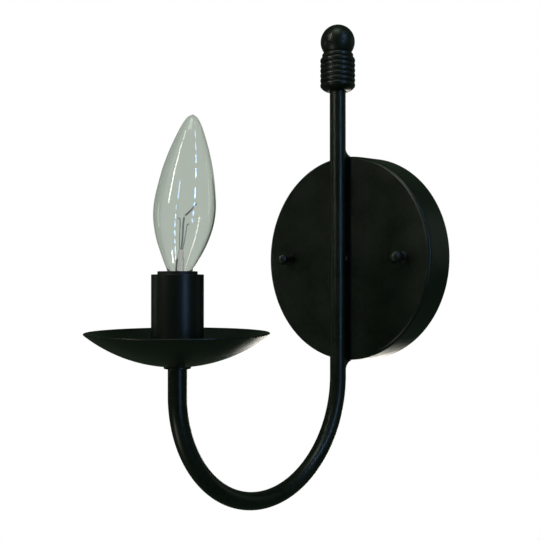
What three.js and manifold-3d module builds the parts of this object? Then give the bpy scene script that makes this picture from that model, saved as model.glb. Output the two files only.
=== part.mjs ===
/**
 * Wall sconce with one candle arm: a round canopy, a J-shaped arm with a reeded finial,
 * a drip pan, and an electric candle with a torpedo bulb.
 *
 * Frame, in millimetres: X to the right, Y into the wall, Z up. The origin is the middle of the
 * canopy's back, on the wall, so the fixture stands out towards -Y.
 */
import * as THREE from 'three';
import { mergeVertices } from 'three/addons/utils/BufferGeometryUtils.js';
import Module from 'manifold-3d';

const wasm = await Module();
wasm.setup();

// ---------------------------------------------------------------- driving dimensions

// Clearances
const fit = 0.3; // radial, between a piece and the hole it passes through
const threadFit = 0.2; // radial, between a machine thread and its nut
const seat = 0.1; // between two faces that rest on each other

// Canopy
const canopyRadius = 63.5; // at the wall
const canopyDraft = 0.5; // how much smaller the face's radius is
const canopyDepth = 20;
const canopyWall = 1.2;
const canopyCorner = 1.8;
const canopySides = 64;
const bushingRadius = 3.9;
const bushingFlange = 2.1; // how far the flange stands out from the barrel

// Crossbar behind the canopy, and what is fixed to it
const crossbarHeight = 16;
const crossbarThickness = 2;
const crossbarEnd = 6; // from a stud to the bar's rounded end
const crossbarEye = 6.5;
const slotWidth = 5;
const slotStart = 20;
const slotEnd = 37;
const studSpacing = 88.9;
const studRadius = 1.95;
const studReach = 7; // how far a stud stands out of the canopy's face
const lockNutFlats = 7;
const lockNutHeight = 3.2;
const groundScrewX = 14;
const groundScrewRadius = 1.95;
const groundHeadRadius = 4.2;
const groundHeadHeight = 2;

// Ball nuts
const nutBallRadius = 4.1;
const nutBallCentre = 7.2; // in front of the canopy's face
const nutNeckRadius = 2.75;
const nutFlangeRadius = 3.3;
const nutFlangeHeight = 0.9;
const nutWasherRadius = 3.6;
const nutWasherThickness = 0.8;

// Arm
const tubeRadius = 4.9;
const tubeWall = 1;
const armReach = 128.4; // from the rod's axis to the candle's axis
const armLowest = -136; // the centreline's lowest height
const bendSteps = 20;
const tubeSides = 20;
const wireHoleRadius = 3.2;
const weldWidth = 5;
const upperWeldHeight = 4.6;
const lowerWeldHeight = 6.6;
const upperWeldDepth = 4.2;
const lowerWeldDepth = 5.6;

// Finial
const neckBottom = 104.9;
const neckHeight = 21.3;
const neckRadius = 10.75;
const neckShoulderRadius = 9.6; // the top ring, under the ball
const neckGrooveDepth = 0.9;
const neckRings = 7;
const neckUndercut = 2.2; // how far its underside is domed down
const neckSocketDepth = 13;
const ballRadius = 10.55;
const ballSeatRadius = 7.9;
const finialStudRadius = 2;
const finialStudLength = 25;
const plugHeight = 13.5;

// Drip pan
const panSeatHeight = -56.8; // the underside of its flat seat
const panSeatRadius = 9;
const panBowlRadius = 74;
const panRimRadius = 46.8;
const panWall = 0.9;
const checkRingWidth = 1.75;
const checkRingHeight = 1.3;
const washerWidth = 3;
const washerThickness = 0.8;
const panNutWall = 2.1; // from the arm to the nut's flats
const panNutHeight = 3.5;

// Candle sleeve and socket
const sleeveWall = 0.95;
const sleeveRoom = 2.2; // between the socket and the sleeve
const sleeveLength = 44.3;
const socketRadius = 10.15;
const socketStandsProud = 1.6; // above the sleeve's top
const socketHeight = 28.8;
const socketFloor = 3.6;
const socketMouthRoom = 1.75; // how much wider the mouth is than the screw shell
const socketMouthDepth = 6.5;
const bracketThickness = 1.1;
const bracketFootThickness = 1.5;
const bracketFootWidth = 2.8;
const bracketWidth = 7;
const bracketLegRoom = 2.4; // from the arm to the leg's inner face
const bracketScrewRadius = 1.2;
const bracketScrewHead = 2.2;
const bracketScrewLength = 3.4;
const tabThickness = 0.5;
const tabWidth = 3;
const tabReach = 2.8; // how far a tab hangs below the socket

// Candelabra thread, shared by the bulb's base and the socket's screw shell
const threadPitch = 2.54;
const threadWave = 0.3;
const bulbThreadRadius = 5.55;
const threadRoom = 0.4; // between the base's thread and the shell's
const shellWall = 0.7;
const shellLength = 17;
const stationsPerPitch = 5;
const threadSides = 16;

// Bulb
const bulbRimHeight = -14.2; // the top of the bulb's metal base
const bulbBaseLength = 14.8;
const bulbBaseWall = 0.65;
const insulatorHeight = 1.6;
const insulatorTipRadius = 2.6;
const contactRadius = 2;
const contactHeight = 1.1;
const bulbHeight = 90.2; // from the pivot of its lean to its tip
const bulbRadius = 15.7;
const bulbWall = 0.6;
const bulbNeckRoom = 0.8; // between the glass neck and the base, filled with cement
const bulbLean = THREE.MathUtils.degToRad(4.9);
const bulbLeanHeading = THREE.MathUtils.degToRad(43.6);
const leanPivot = -19.5;
const stemRadius = 2.2;
const wireRadius = 0.3;
const filamentRadius = 0.35;

// Leads
const leadRadius = 1;
const leadOffset = 1.25;
const groundLeadRadius = 0.8;
const connectorMouth = 5.2;
const connectorTip = 3;
const connectorBore = 1.7;
const connectorLength = 17;
const connectorDepth = 11;

// ---------------------------------------------------------------- derived places

const faceY = -canopyDepth;
const canopyFaceRadius = canopyRadius - canopyDraft;
const studX = studSpacing / 2;
const rodY = faceY - fit - tubeRadius;
const candleY = rodY - armReach;
const bendRadius = armReach / 2;
const bendCentreY = (rodY + candleY) / 2;
const bendCentreZ = armLowest + bendRadius;
const neckTop = neckBottom + neckHeight;
const rodTop = neckBottom + neckSocketDepth - fit;
const ballCentreZ = neckTop + seat + Math.sqrt(ballRadius ** 2 - ballSeatRadius ** 2);
const armRoom = tubeRadius + fit; // the bore of everything that slips over the arm
const checkRingRadius = armRoom + checkRingWidth;
const panSeatTop = panSeatHeight + panWall;
const bowlCentreZ = panSeatHeight + Math.sqrt(panBowlRadius ** 2 - panSeatRadius ** 2);
const panNutBottom = panSeatTop + 2 * seat + washerThickness;
const bracketFoot = panNutBottom + panNutHeight + seat;
const legTop = bracketFoot + bracketFootThickness + 1.2;
const bracketLegY = armRoom + bracketLegRoom + bracketThickness; // the leg's outer face
const panInnerRadius = panBowlRadius - panWall;
const sleeveRadius = socketRadius + sleeveRoom + sleeveWall;
const sleeveBottom = bowlCentreZ - Math.sqrt(panInnerRadius ** 2 - sleeveRadius ** 2) + fit;
const sleeveTop = sleeveBottom + sleeveLength;
const socketTop = sleeveTop + socketStandsProud;
const socketBottom = socketTop - socketHeight;
const socketCupFloor = socketBottom + socketFloor;
const bracketTop = socketBottom - seat;
const shellTop = socketTop - socketMouthDepth - fit;
const shellBottom = shellTop - shellLength;
const shellThreadRadius = bulbThreadRadius + threadRoom;
const shellOuterRadius = shellThreadRadius + shellWall;
const socketMouthRadius = shellOuterRadius + socketMouthRoom;
const bulbBaseBore = bulbThreadRadius - bulbBaseWall;
const bulbNeckRadius = bulbBaseBore - bulbNeckRoom;
const bulbBaseBottom = bulbRimHeight - bulbBaseLength;
const contactTip = bulbBaseBottom - insulatorHeight - contactHeight;
const screwTabX = shellOuterRadius - tabThickness / 2 - 0.05;
const contactTabX = -shellThreadRadius + tabThickness;

// ---------------------------------------------------------------- materials

const finish = (color, roughness, metalness) =>
  new THREE.MeshStandardMaterial({ color, roughness, metalness });
const blackCoat = finish(0x10130f, 0.42, 0.1);
const sleeveBlack = finish(0x0b0d0c, 0.35, 0);
const phenolic = finish(0x14110f, 0.5, 0);
const brass = finish(0xb08d4c, 0.32, 1);
const nickel = finish(0xb9b6ac, 0.3, 1);
const zincSteel = finish(0xa7a9ab, 0.4, 1);
const greenScrew = finish(0x2e7d43, 0.45, 0.5);
const clearGlass = finish(0xdfe6dd, 0.05, 0);
clearGlass.transparent = true;
clearGlass.opacity = 0.3;
const blackGlass = finish(0x0a0a0c, 0.2, 0);
const tungsten = finish(0x4a4a4c, 0.5, 1);
const blackPlastic = finish(0x1a1a1a, 0.6, 0);
const orangePlastic = finish(0xc8662a, 0.55, 0);
const greenPlastic = finish(0x3c7a3c, 0.55, 0);
const blackLead = finish(0x151515, 0.55, 0);
const whiteLead = finish(0xe4e1d8, 0.55, 0);
const copper = finish(0xb8693c, 0.35, 1);

// ---------------------------------------------------------------- shaping helpers

/** A geometry as a solid: shared vertices merged, collapsed triangles dropped, faces turned outwards. */
function solidOf(geometry) {
  const bare = new THREE.BufferGeometry();
  bare.setAttribute('position', geometry.getAttribute('position'));
  bare.setIndex(geometry.getIndex());
  const merged = mergeVertices(bare, 1e-4);
  const points = merged.getAttribute('position').array;
  const index = merged.getIndex().array;
  const corner = [0, 1, 2].map(() => new THREE.Vector3());
  const triangles = [];
  let volume = 0;
  for (let start = 0; start < index.length; start += 3) {
    const [a, b, c] = index.slice(start, start + 3);
    if (a === b || b === c || c === a) continue;
    triangles.push([a, b, c]);
    [a, b, c].forEach((vertex, side) => corner[side].fromArray(points, vertex * 3));
    volume += corner[0].dot(corner[1].cross(corner[2]));
  }
  if (volume < 0) triangles.forEach((triangle) => triangle.reverse());
  const mesh = new wasm.Mesh({
    numProp: 3,
    vertProperties: new Float32Array(points),
    triVerts: new Uint32Array(triangles.flat()),
  });
  return new wasm.Manifold(mesh);
}

/** A solid back as a geometry. */
function geometryOf(solid) {
  const mesh = solid.getMesh();
  const geometry = new THREE.BufferGeometry();
  geometry.setAttribute('position', new THREE.BufferAttribute(mesh.vertProperties, 3));
  geometry.setIndex(new THREE.BufferAttribute(mesh.triVerts, 1));
  geometry.computeVertexNormals();
  return geometry;
}

const pairs = (points) => points.map(([across, along]) => new THREE.Vector2(across, along));

/** A profile of [radius, y] turned about Y. */
const turnedAboutY = (profile, sides) => solidOf(new THREE.LatheGeometry(pairs(profile), sides));

/** A profile of [radius, z] turned about Z. */
const turnedAboutZ = (profile, sides) =>
  solidOf(new THREE.LatheGeometry(pairs(profile), sides).rotateX(Math.PI / 2));

/** The profile of a plain ring or pipe, closed on itself. */
const ringProfile = (inner, outer, low, high) => [
  [inner, low],
  [outer, low],
  [outer, high],
  [inner, high],
  [inner, low],
];

/** A solid round bar between two heights on Z. */
const bar = (radius, low, high, sides = 24) =>
  turnedAboutZ([[0, low], [radius, low], [radius, high], [0, high]], sides);

/** A solid round bar along Y, at x and z. */
const barAlongY = (radius, low, high, x, z, sides = 24) =>
  turnedAboutY([[0, low], [radius, low], [radius, high], [0, high]], sides).translate([x, 0, z]);

const box = (width, depth, height, x, y, z) =>
  solidOf(new THREE.BoxGeometry(width, depth, height).translate(x, y, z));

/** Points round part of a circle in a plane, from one angle to another in degrees. */
function arc(centreAcross, centreAlong, radius, from, to, steps) {
  const points = [];
  for (let step = 0; step <= steps; step++) {
    const angle = THREE.MathUtils.degToRad(THREE.MathUtils.lerp(from, to, step / steps));
    points.push([centreAcross + radius * Math.cos(angle), centreAlong + radius * Math.sin(angle)]);
  }
  return points;
}

/** Points all round a circle, without the first one again at the end. */
const circle = (across, along, radius, sides) => arc(across, along, radius, 0, 360 - 360 / sides, sides - 1);

/** A flat-sided nut about Z: its corners lie on flats / cos 30. */
function hexNut(flats, bore, low, high) {
  const corners = circle(0, 0, flats / 2 / Math.cos(Math.PI / 6), 6);
  const outline = new THREE.Shape(pairs(corners));
  outline.holes.push(new THREE.Path(pairs(circle(0, 0, bore, 20))));
  const blank = new THREE.ExtrudeGeometry(outline, { depth: high - low, bevelEnabled: false });
  return solidOf(blank.translate(0, 0, low));
}

/** A curve whose stations fall evenly between its points, so close points give short steps. */
class LeadRoute extends THREE.CatmullRomCurve3 {
  getUtoTmapping(u) {
    return u;
  }
}

/** A round wire or lead along a route. */
function wireAlong(points, radius, stepsBetween, sides = 8) {
  const route = new LeadRoute(points.map((point) => new THREE.Vector3(...point)));
  const section = new THREE.Shape(pairs(circle(0, 0, radius, sides)));
  const steps = stepsBetween * (points.length - 1);
  return solidOf(new THREE.ExtrudeGeometry(section, { steps, extrudePath: route }));
}

/** The arm's centreline: down the rod, round the half circle and up the candle's leg. */
class ArmCentreline extends THREE.Curve {
  getPoint(t, target = new THREE.Vector3()) {
    const station = t * (bendSteps + 2);
    if (station <= 1) return target.set(0, rodY, THREE.MathUtils.lerp(rodTop, bendCentreZ, station));
    const past = station - 1 - bendSteps;
    if (past >= 0) return target.set(0, candleY, THREE.MathUtils.lerp(bendCentreZ, legTop, past));
    const angle = ((station - 1) / bendSteps) * Math.PI;
    const y = bendCentreY + bendRadius * Math.cos(angle);
    return target.set(0, y, bendCentreZ - bendRadius * Math.sin(angle));
  }

  getUtoTmapping(u) {
    return u;
  }
}

/** Heights along a thread, from one end to the other, a few to each pitch. */
function threadHeights(low, high) {
  const count = Math.round(((high - low) / threadPitch) * stationsPerPitch);
  return Array.from({ length: count + 1 }, (_, step) => THREE.MathUtils.lerp(low, high, step / count));
}

/** Turns a profile about Z and works a right-hand thread into the wall that lies at one radius. */
function threadedAboutZ(profile, threadRadius, low, high) {
  const geometry = new THREE.LatheGeometry(pairs(profile), threadSides).rotateX(Math.PI / 2);
  const points = geometry.getAttribute('position');
  const point = new THREE.Vector3();
  for (let index = 0; index < points.count; index++) {
    point.fromBufferAttribute(points, index);
    const radius = Math.hypot(point.x, point.y);
    const onThread = Math.abs(radius - threadRadius) < 1e-3;
    const inside = point.z > low + 1e-3 && point.z < high - 1e-3;
    if (!onThread || !inside) continue;
    const phase = (point.z / threadPitch) * 2 * Math.PI - Math.atan2(point.y, point.x);
    const scale = (threadRadius + threadWave * Math.cos(phase)) / threadRadius;
    points.setXYZ(index, point.x * scale, point.y * scale, point.z);
  }
  return solidOf(geometry);
}

// ---------------------------------------------------------------- assembly

const sconce = new THREE.Group();
const candle = new THREE.Group();
candle.position.set(0, candleY, 0);
const rod = new THREE.Group();
rod.position.set(0, rodY, 0);
const leaningBulb = new THREE.Group();
leaningBulb.position.set(0, 0, leanPivot);
leaningBulb.rotation.set(0, bulbLean, bulbLeanHeading, 'ZYX');
candle.add(leaningBulb);
sconce.add(candle, rod);

/** Adds one named piece to a group. */
function add(group, name, solid, material) {
  const mesh = new THREE.Mesh(geometryOf(solid), material);
  mesh.name = name;
  group.add(mesh);
}

// ---------------------------------------------------------------- canopy

/** The deep round pan that covers the outlet box, with its stud holes and its wire hole. */
function canopyPan() {
  const innerCorner = canopyCorner - canopyWall;
  const frontCorner = arc(canopyFaceRadius - canopyCorner, faceY + canopyCorner, canopyCorner, 270, 360, 4);
  const insideCorner = arc(canopyFaceRadius - canopyCorner, faceY + canopyCorner, innerCorner, 360, 270, 2);
  const shell = turnedAboutY(
    [
      [0, faceY],
      ...frontCorner,
      [canopyRadius, 0],
      [canopyRadius - canopyWall, 0],
      ...insideCorner,
      [0, faceY + canopyWall],
    ],
    canopySides,
  );
  const through = [faceY - canopyWall, faceY + 2 * canopyWall];
  return shell
    .subtract(barAlongY(studRadius + fit, ...through, -studX, 0, 16))
    .subtract(barAlongY(studRadius + fit, ...through, studX, 0, 16))
    .subtract(barAlongY(bushingRadius + fit, ...through, 0, 0));
}

/** A fillet of weld between the rod's back and the canopy's rim: above it (side 1) or below it (side -1). */
function weldBead(side, height, depth) {
  const rimZ = canopyFaceRadius - canopyCorner;
  const hiddenY = rodY + tubeRadius / 2;
  const outline = [
    [hiddenY, rimZ - height / 2],
    [faceY + depth, rimZ - height / 2],
    ...arc(faceY + depth, canopyRadius + height, height - fit, 270, 180, 5).map(([y, z]) => [
      THREE.MathUtils.mapLinear(y, faceY + depth - height + fit, faceY + depth, faceY, faceY + depth),
      z,
    ]),
    [hiddenY, canopyRadius + height],
  ];
  const section = new THREE.Shape(pairs(outline.map(([y, z]) => [y, side * z])));
  const blank = new THREE.ExtrudeGeometry(section, { depth: weldWidth, bevelEnabled: false });
  // The section is drawn with Y across and Z along, and is thick along X.
  blank.applyMatrix4(new THREE.Matrix4().set(0, 0, 1, -weldWidth / 2, 1, 0, 0, 0, 0, 1, 0, 0, 0, 0, 0, 1));
  const rodRoom = bar(tubeRadius + fit, -bendRadius * 2, bendRadius * 2).translate([0, rodY, 0]);
  const canopyRoom = turnedAboutY(
    [
      [0, faceY - fit],
      ...arc(canopyFaceRadius - canopyCorner, faceY + canopyCorner, canopyCorner + fit, 270, 360, 4),
      [canopyRadius + fit, 0],
      [0, 0],
    ],
    canopySides,
  );
  return solidOf(blank).subtract(rodRoom).subtract(canopyRoom);
}

/** The plastic bushing that guards the leads where they pass the canopy's face. */
function wireBushing() {
  const bore = bushingRadius - 0.9;
  const flangeFront = faceY + canopyWall + seat;
  const profile = [
    [bore, faceY],
    [bushingRadius, faceY],
    [bushingRadius, flangeFront],
    [bushingRadius + bushingFlange, flangeFront],
    [bushingRadius + bushingFlange, flangeFront + 1.2],
    [bore, flangeFront + 1.2],
    [bore, faceY],
  ];
  return turnedAboutY(profile, 24);
}

/** The steel strap screwed to the outlet box, with its eye, two slots, stud holes and ground hole. */
function crossbar() {
  const endRadius = crossbarHeight / 2;
  const endX = studX + crossbarEnd - endRadius;
  const outline = new THREE.Shape(pairs([
    ...arc(endX, 0, endRadius, -90, 90, 10),
    ...arc(-endX, 0, endRadius, 90, 270, 10),
  ]));
  outline.holes.push(new THREE.Path(pairs(circle(0, 0, crossbarEye, 24))));
  for (const side of [-1, 1]) {
    const slotRadius = slotWidth / 2;
    const near = side * (slotStart + slotRadius);
    const far = side * (slotEnd - slotRadius);
    const left = Math.min(near, far);
    const right = Math.max(near, far);
    outline.holes.push(new THREE.Path(pairs([
      ...arc(right, 0, slotRadius, -90, 90, 6),
      ...arc(left, 0, slotRadius, 90, 270, 6),
    ])));
    outline.holes.push(new THREE.Path(pairs(circle(side * studX, 0, studRadius + fit, 16))));
  }
  outline.holes.push(new THREE.Path(pairs(circle(groundScrewX, 0, groundScrewRadius + fit, 16))));
  const blank = new THREE.ExtrudeGeometry(outline, { depth: crossbarThickness, bevelEnabled: false });
  return solidOf(blank.rotateX(Math.PI / 2));
}

/** A threaded stud from the crossbar out through the canopy. */
const stud = (x) => barAlongY(studRadius, faceY - studReach, -fit, x, 0, 16);

/** The nut that locks a stud to the crossbar's front. */
function lockNut(x) {
  const back = crossbarThickness + seat;
  const nut = hexNut(lockNutFlats, studRadius + threadFit, back, back + lockNutHeight);
  return nut.rotate([90, 0, 0]).translate([x, 0, 0]);
}

/** The thin washer under a ball nut. */
function nutWasher(x) {
  const back = faceY - seat;
  const profile = ringProfile(studRadius + fit, nutWasherRadius, back - nutWasherThickness, back);
  return turnedAboutY(profile, 24).translate([x, 0, 0]);
}

/** A ball nut: a ball on a short flanged neck, with a blind bore that opens at the canopy. */
function ballNut(x) {
  const back = faceY - 2 * seat - nutWasherThickness;
  const flangeFront = back - nutFlangeHeight;
  const centre = faceY - nutBallCentre;
  const joinAngle = THREE.MathUtils.radToDeg(Math.acos(nutNeckRadius / nutBallRadius));
  const bore = studRadius + threadFit;
  const boreEnd = faceY - studReach - fit - seat;
  const profile = [
    [bore, back],
    [nutFlangeRadius, back],
    [nutFlangeRadius, flangeFront],
    [nutNeckRadius, flangeFront - 0.4],
    ...arc(0, centre, nutBallRadius, joinAngle, -90, 7),
    [0, boreEnd],
    [bore, boreEnd],
    [bore, back],
  ];
  return turnedAboutY(profile, 18).translate([x, 0, 0]);
}

/** The green hex-head screw that holds the ground lead to the crossbar. */
function groundScrew() {
  const headBack = crossbarThickness + 2 * (groundLeadRadius + fit);
  const corners = circle(0, 0, groundHeadRadius, 6);
  const head = new THREE.ExtrudeGeometry(new THREE.Shape(pairs(corners)), {
    depth: groundHeadHeight,
    bevelEnabled: false,
  });
  const shank = bar(groundScrewRadius, fit, headBack + groundHeadHeight / 2, 16);
  const screw = solidOf(head.translate(0, 0, headBack)).add(shank);
  return screw.rotate([90, 0, 0]).translate([groundScrewX, 0, 0]);
}

add(sconce, 'canopy_pan', canopyPan(), blackCoat);
add(sconce, 'upper_weld_bead', weldBead(1, upperWeldHeight, upperWeldDepth), blackCoat);
add(sconce, 'lower_weld_bead', weldBead(-1, lowerWeldHeight, lowerWeldDepth), blackCoat);
add(sconce, 'wire_bushing', wireBushing(), blackPlastic);
add(sconce, 'mounting_crossbar', crossbar(), zincSteel);
add(sconce, 'ground_screw', groundScrew(), greenScrew);
for (const [side, x] of [['left', -studX], ['right', studX]]) {
  add(sconce, `${side}_stud`, stud(x), zincSteel);
  add(sconce, `${side}_stud_lock_nut`, lockNut(x), zincSteel);
  add(sconce, `${side}_nut_washer`, nutWasher(x), blackCoat);
  add(sconce, `${side}_ball_nut`, ballNut(x), blackCoat);
}

// ---------------------------------------------------------------- arm and finial

/** The one bent tube, from inside the finial to the socket, with the wire hole in the rod's back. */
function armTube() {
  const section = new THREE.Shape(pairs(circle(0, 0, tubeRadius, tubeSides)));
  section.holes.push(new THREE.Path(pairs(circle(0, 0, tubeRadius - tubeWall, tubeSides))));
  const sweep = { steps: bendSteps + 2, extrudePath: new ArmCentreline() };
  const tube = new THREE.ExtrudeGeometry(section, sweep);
  return solidOf(tube).subtract(barAlongY(wireHoleRadius, rodY, faceY, 0, 0));
}

/** The plug fixed in the rod's top, tapped for the finial's stud. */
function rodPlug() {
  const bottom = rodTop - plugHeight;
  const bored = rodTop - (plugHeight - 2);
  const profile = [
    [0, bottom],
    [tubeRadius - tubeWall - fit, bottom],
    [tubeRadius - tubeWall - fit, rodTop],
    [finialStudRadius + threadFit, rodTop],
    [finialStudRadius + threadFit, bored],
    [0, bored],
  ];
  return turnedAboutZ(profile, 20);
}

/** The stud that screws the ball and the reeded neck to the rod. */
function finialStud() {
  const bottom = rodTop - (plugHeight - 2) + fit;
  return bar(finialStudRadius, bottom, bottom + finialStudLength, 16);
}

/** The turned neck: a stack of half-round rings, hollow below for the rod. */
function reededNeck() {
  const pitch = neckHeight / neckRings;
  const rings = [];
  for (let ring = 0; ring < neckRings; ring++) {
    const middle = neckBottom + (ring + 0.5) * pitch;
    const crest = ring === neckRings - 1 ? neckShoulderRadius : neckRadius;
    for (let step = 0; step < 4; step++) {
      const angle = THREE.MathUtils.lerp(-Math.PI / 2, Math.PI / 2, step / 4);
      const radius = crest - neckGrooveDepth * (1 - Math.cos(angle));
      rings.push([radius, middle + (pitch / 2) * Math.sin(angle)]);
    }
  }
  const boreTop = neckBottom + neckSocketDepth;
  const profile = [
    [armRoom, neckBottom - neckUndercut],
    [armRoom + 1.2, neckBottom - neckUndercut],
    [neckRadius - 3, neckBottom - neckUndercut * 0.8],
    [neckRadius - 1.5, neckBottom - neckUndercut * 0.4],
    ...rings,
    [neckShoulderRadius - neckGrooveDepth, neckTop],
    [finialStudRadius + threadFit, neckTop],
    [finialStudRadius + threadFit, boreTop],
    [armRoom, boreTop],
    [armRoom, neckBottom - neckUndercut],
  ];
  return turnedAboutZ(profile, 24);
}

/** The finial's ball, with a small flat where it sits and a blind bore for its stud. */
function finialBall() {
  const flat = neckTop + seat;
  const flatAngle = THREE.MathUtils.radToDeg(Math.asin((flat - ballCentreZ) / ballRadius));
  const studTop = rodTop - (plugHeight - 2) + fit + finialStudLength;
  const bore = finialStudRadius + threadFit;
  const profile = [
    [bore, flat],
    ...arc(0, ballCentreZ, ballRadius, flatAngle, 90, 10),
    [0, studTop + fit],
    [bore, studTop + fit],
    [bore, flat],
  ];
  return turnedAboutZ(profile, 24);
}

add(sconce, 'arm_tube', armTube(), blackCoat);
add(rod, 'rod_top_plug', rodPlug(), zincSteel);
add(rod, 'finial_stud', finialStud(), zincSteel);
add(rod, 'finial_reeded_neck', reededNeck(), blackCoat);
add(rod, 'finial_ball', finialBall(), blackCoat);

// ---------------------------------------------------------------- drip pan and its fixing

/** The collar on the arm that the drip pan rests on. */
function checkRing() {
  const top = panSeatHeight - seat;
  const bottom = top - checkRingHeight;
  const profile = [
    [armRoom, bottom],
    [checkRingRadius - 0.5, bottom],
    [checkRingRadius, bottom + 0.5],
    [checkRingRadius, top],
    [armRoom, top],
    [armRoom, bottom],
  ];
  return turnedAboutZ(profile, 32);
}

/** The spun drip pan: a shallow bowl with a flat seat and a rounded edge. */
function dripPan() {
  const angleAt = (across, radius) => THREE.MathUtils.radToDeg(Math.acos(across / radius));
  const middle = panBowlRadius - panWall / 2;
  const rimAngle = angleAt(panRimRadius - panWall / 2, middle);
  const edgeCentre = arc(0, bowlCentreZ, middle, -rimAngle, -rimAngle, 1)[0];
  const seatInner = panInnerRadius * (panSeatRadius / panBowlRadius);
  const profile = [
    [armRoom, panSeatHeight],
    ...arc(0, bowlCentreZ, panBowlRadius, -angleAt(panSeatRadius, panBowlRadius), -rimAngle, 6),
    ...arc(...edgeCentre, panWall / 2, 30 - rimAngle, 150 - rimAngle, 2),
    ...arc(0, bowlCentreZ, panInnerRadius, -rimAngle, -angleAt(seatInner, panInnerRadius), 6),
    [armRoom, panSeatTop],
    [armRoom, panSeatHeight],
  ];
  return turnedAboutZ(profile, 48);
}

/** The lock washer between the pan and its nut. */
function panLockWasher() {
  const bottom = panSeatTop + seat;
  return turnedAboutZ(ringProfile(armRoom, armRoom + washerWidth, bottom, bottom + washerThickness), 24);
}

/** The nut on the arm's threaded end that clamps the pan. */
function panNut() {
  return hexNut(2 * (tubeRadius + panNutWall), armRoom, panNutBottom, panNutBottom + panNutHeight);
}

add(candle, 'check_ring', checkRing(), blackCoat);
add(candle, 'drip_pan', dripPan(), blackCoat);
add(candle, 'pan_lock_washer', panLockWasher(), zincSteel);
add(candle, 'pan_hex_nut', panNut(), zincSteel);

// ---------------------------------------------------------------- candle sleeve and socket

/** The plain tube that makes the candle, standing in the pan round the socket. */
function candleSleeve() {
  const bore = sleeveRadius - sleeveWall;
  const edge = 0.25;
  const profile = [
    [bore, sleeveBottom],
    [sleeveRadius, sleeveBottom],
    [sleeveRadius, sleeveTop - edge],
    [sleeveRadius - edge, sleeveTop],
    [bore + edge, sleeveTop],
    [bore, sleeveTop - edge],
    [bore, sleeveBottom],
  ];
  return turnedAboutZ(profile, 40);
}

/** The steel bracket that carries the socket: a round foot on the arm's end, a leg and a top plate. */
function socketBracket() {
  const inside = bracketLegY - bracketThickness;
  const plateTip = -bracketWidth / 2;
  const plateUnder = bracketTop - bracketThickness;
  const section = [
    [0, bracketFoot],
    [bracketLegY, bracketFoot],
    [bracketLegY, bracketTop],
    [plateTip, bracketTop],
    [plateTip, plateUnder],
    [inside, plateUnder],
    [inside, bracketFoot + bracketFootThickness],
    [0, bracketFoot + bracketFootThickness],
  ];
  const strap = new THREE.ExtrudeGeometry(new THREE.Shape(pairs(section)), {
    depth: bracketWidth,
    bevelEnabled: false,
  });
  // The section is drawn with Y across and Z along, and is thick along X.
  const upright = new THREE.Matrix4().makeBasis(
    new THREE.Vector3(0, 1, 0),
    new THREE.Vector3(0, 0, 1),
    new THREE.Vector3(1, 0, 0),
  );
  strap.applyMatrix4(upright.setPosition(-bracketWidth / 2, 0, 0));
  const footTop = bracketFoot + bracketFootThickness;
  return solidOf(strap)
    .add(bar(armRoom + bracketFootWidth, bracketFoot, footTop))
    .subtract(bar(armRoom, bracketFoot - seat, footTop + seat))
    .subtract(bar(bracketScrewRadius + fit, plateUnder - seat, bracketTop + seat, 16));
}

/** The screw from the bracket's plate up into the socket. */
function bracketScrew() {
  const headTop = bracketTop - bracketThickness - seat;
  const head = bar(bracketScrewHead, headTop - bracketScrewHead / 2, headTop, 20);
  return head.add(bar(bracketScrewRadius, headTop - bracketScrewHead / 4, headTop + bracketScrewLength, 16));
}

/** The moulded socket: a cup with a wide mouth, slots for the two tabs and a hole for its screw. */
function socketBody() {
  const edge = 0.5;
  const cupRadius = shellOuterRadius + fit;
  const mouthFloor = socketTop - socketMouthDepth;
  const cup = turnedAboutZ(
    [
      [0, socketBottom],
      [socketRadius - edge, socketBottom],
      [socketRadius, socketBottom + edge],
      [socketRadius, socketTop - edge],
      [socketRadius - edge, socketTop],
      [socketMouthRadius, socketTop],
      [socketMouthRadius, mouthFloor],
      [cupRadius, mouthFloor],
      [cupRadius, socketCupFloor],
      [0, socketCupFloor],
    ],
    36,
  );
  const slotDepth = socketFloor + 2 * seat;
  const slotMiddle = (socketBottom + socketCupFloor) / 2;
  const slotAt = (x) => box(tabThickness + 2 * fit, tabWidth + 2 * fit, slotDepth, x, 0, slotMiddle);
  const screwTip = bracketTop - bracketThickness - seat + bracketScrewLength;
  return cup
    .subtract(slotAt(screwTabX))
    .subtract(slotAt(contactTabX))
    .subtract(bar(bracketScrewRadius + threadFit, socketBottom - seat, screwTip + fit, 16));
}

/** The socket's screw shell, threaded inside, with its tab down through the socket's floor. */
function screwShell() {
  const heights = threadHeights(shellBottom, shellTop);
  const threadWall = heights.map((height) => [shellThreadRadius, height]).reverse();
  const profile = [
    [shellOuterRadius, shellBottom],
    [shellOuterRadius, shellTop],
    ...threadWall,
    [shellOuterRadius, shellBottom],
  ];
  const tabTop = shellBottom + 1.2;
  const tabBottom = socketBottom - tabReach;
  const tab = box(tabThickness, tabWidth, tabTop - tabBottom, screwTabX, 0, (tabTop + tabBottom) / 2);
  return threadedAboutZ(profile, shellThreadRadius, shellBottom, shellTop).add(tab);
}

/** The strip that touches the bulb's tip: a foot on the cup's floor, a raised tongue and a tab below. */
function centreContact() {
  const footLow = socketCupFloor + seat;
  const footHigh = footLow + tabThickness;
  const tongueTop = contactTip - fit;
  const left = contactTabX - tabThickness / 2;
  const right = contactTabX + tabThickness / 2;
  const tabBottom = socketBottom - tabReach;
  const section = [
    [left, tabBottom],
    [right, tabBottom],
    [right, footLow],
    [right + 1.6, footLow],
    [0, tongueTop - tabThickness],
    [1.4, tongueTop - tabThickness],
    [1.4, tongueTop],
    [-0.3, tongueTop],
    [right + 1.3, footHigh],
    [left, footHigh],
  ];
  const strip = new THREE.ExtrudeGeometry(new THREE.Shape(pairs(section)), {
    depth: tabWidth,
    bevelEnabled: false,
  });
  return solidOf(strip.rotateX(Math.PI / 2).translate(0, tabWidth / 2, 0));
}

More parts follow.
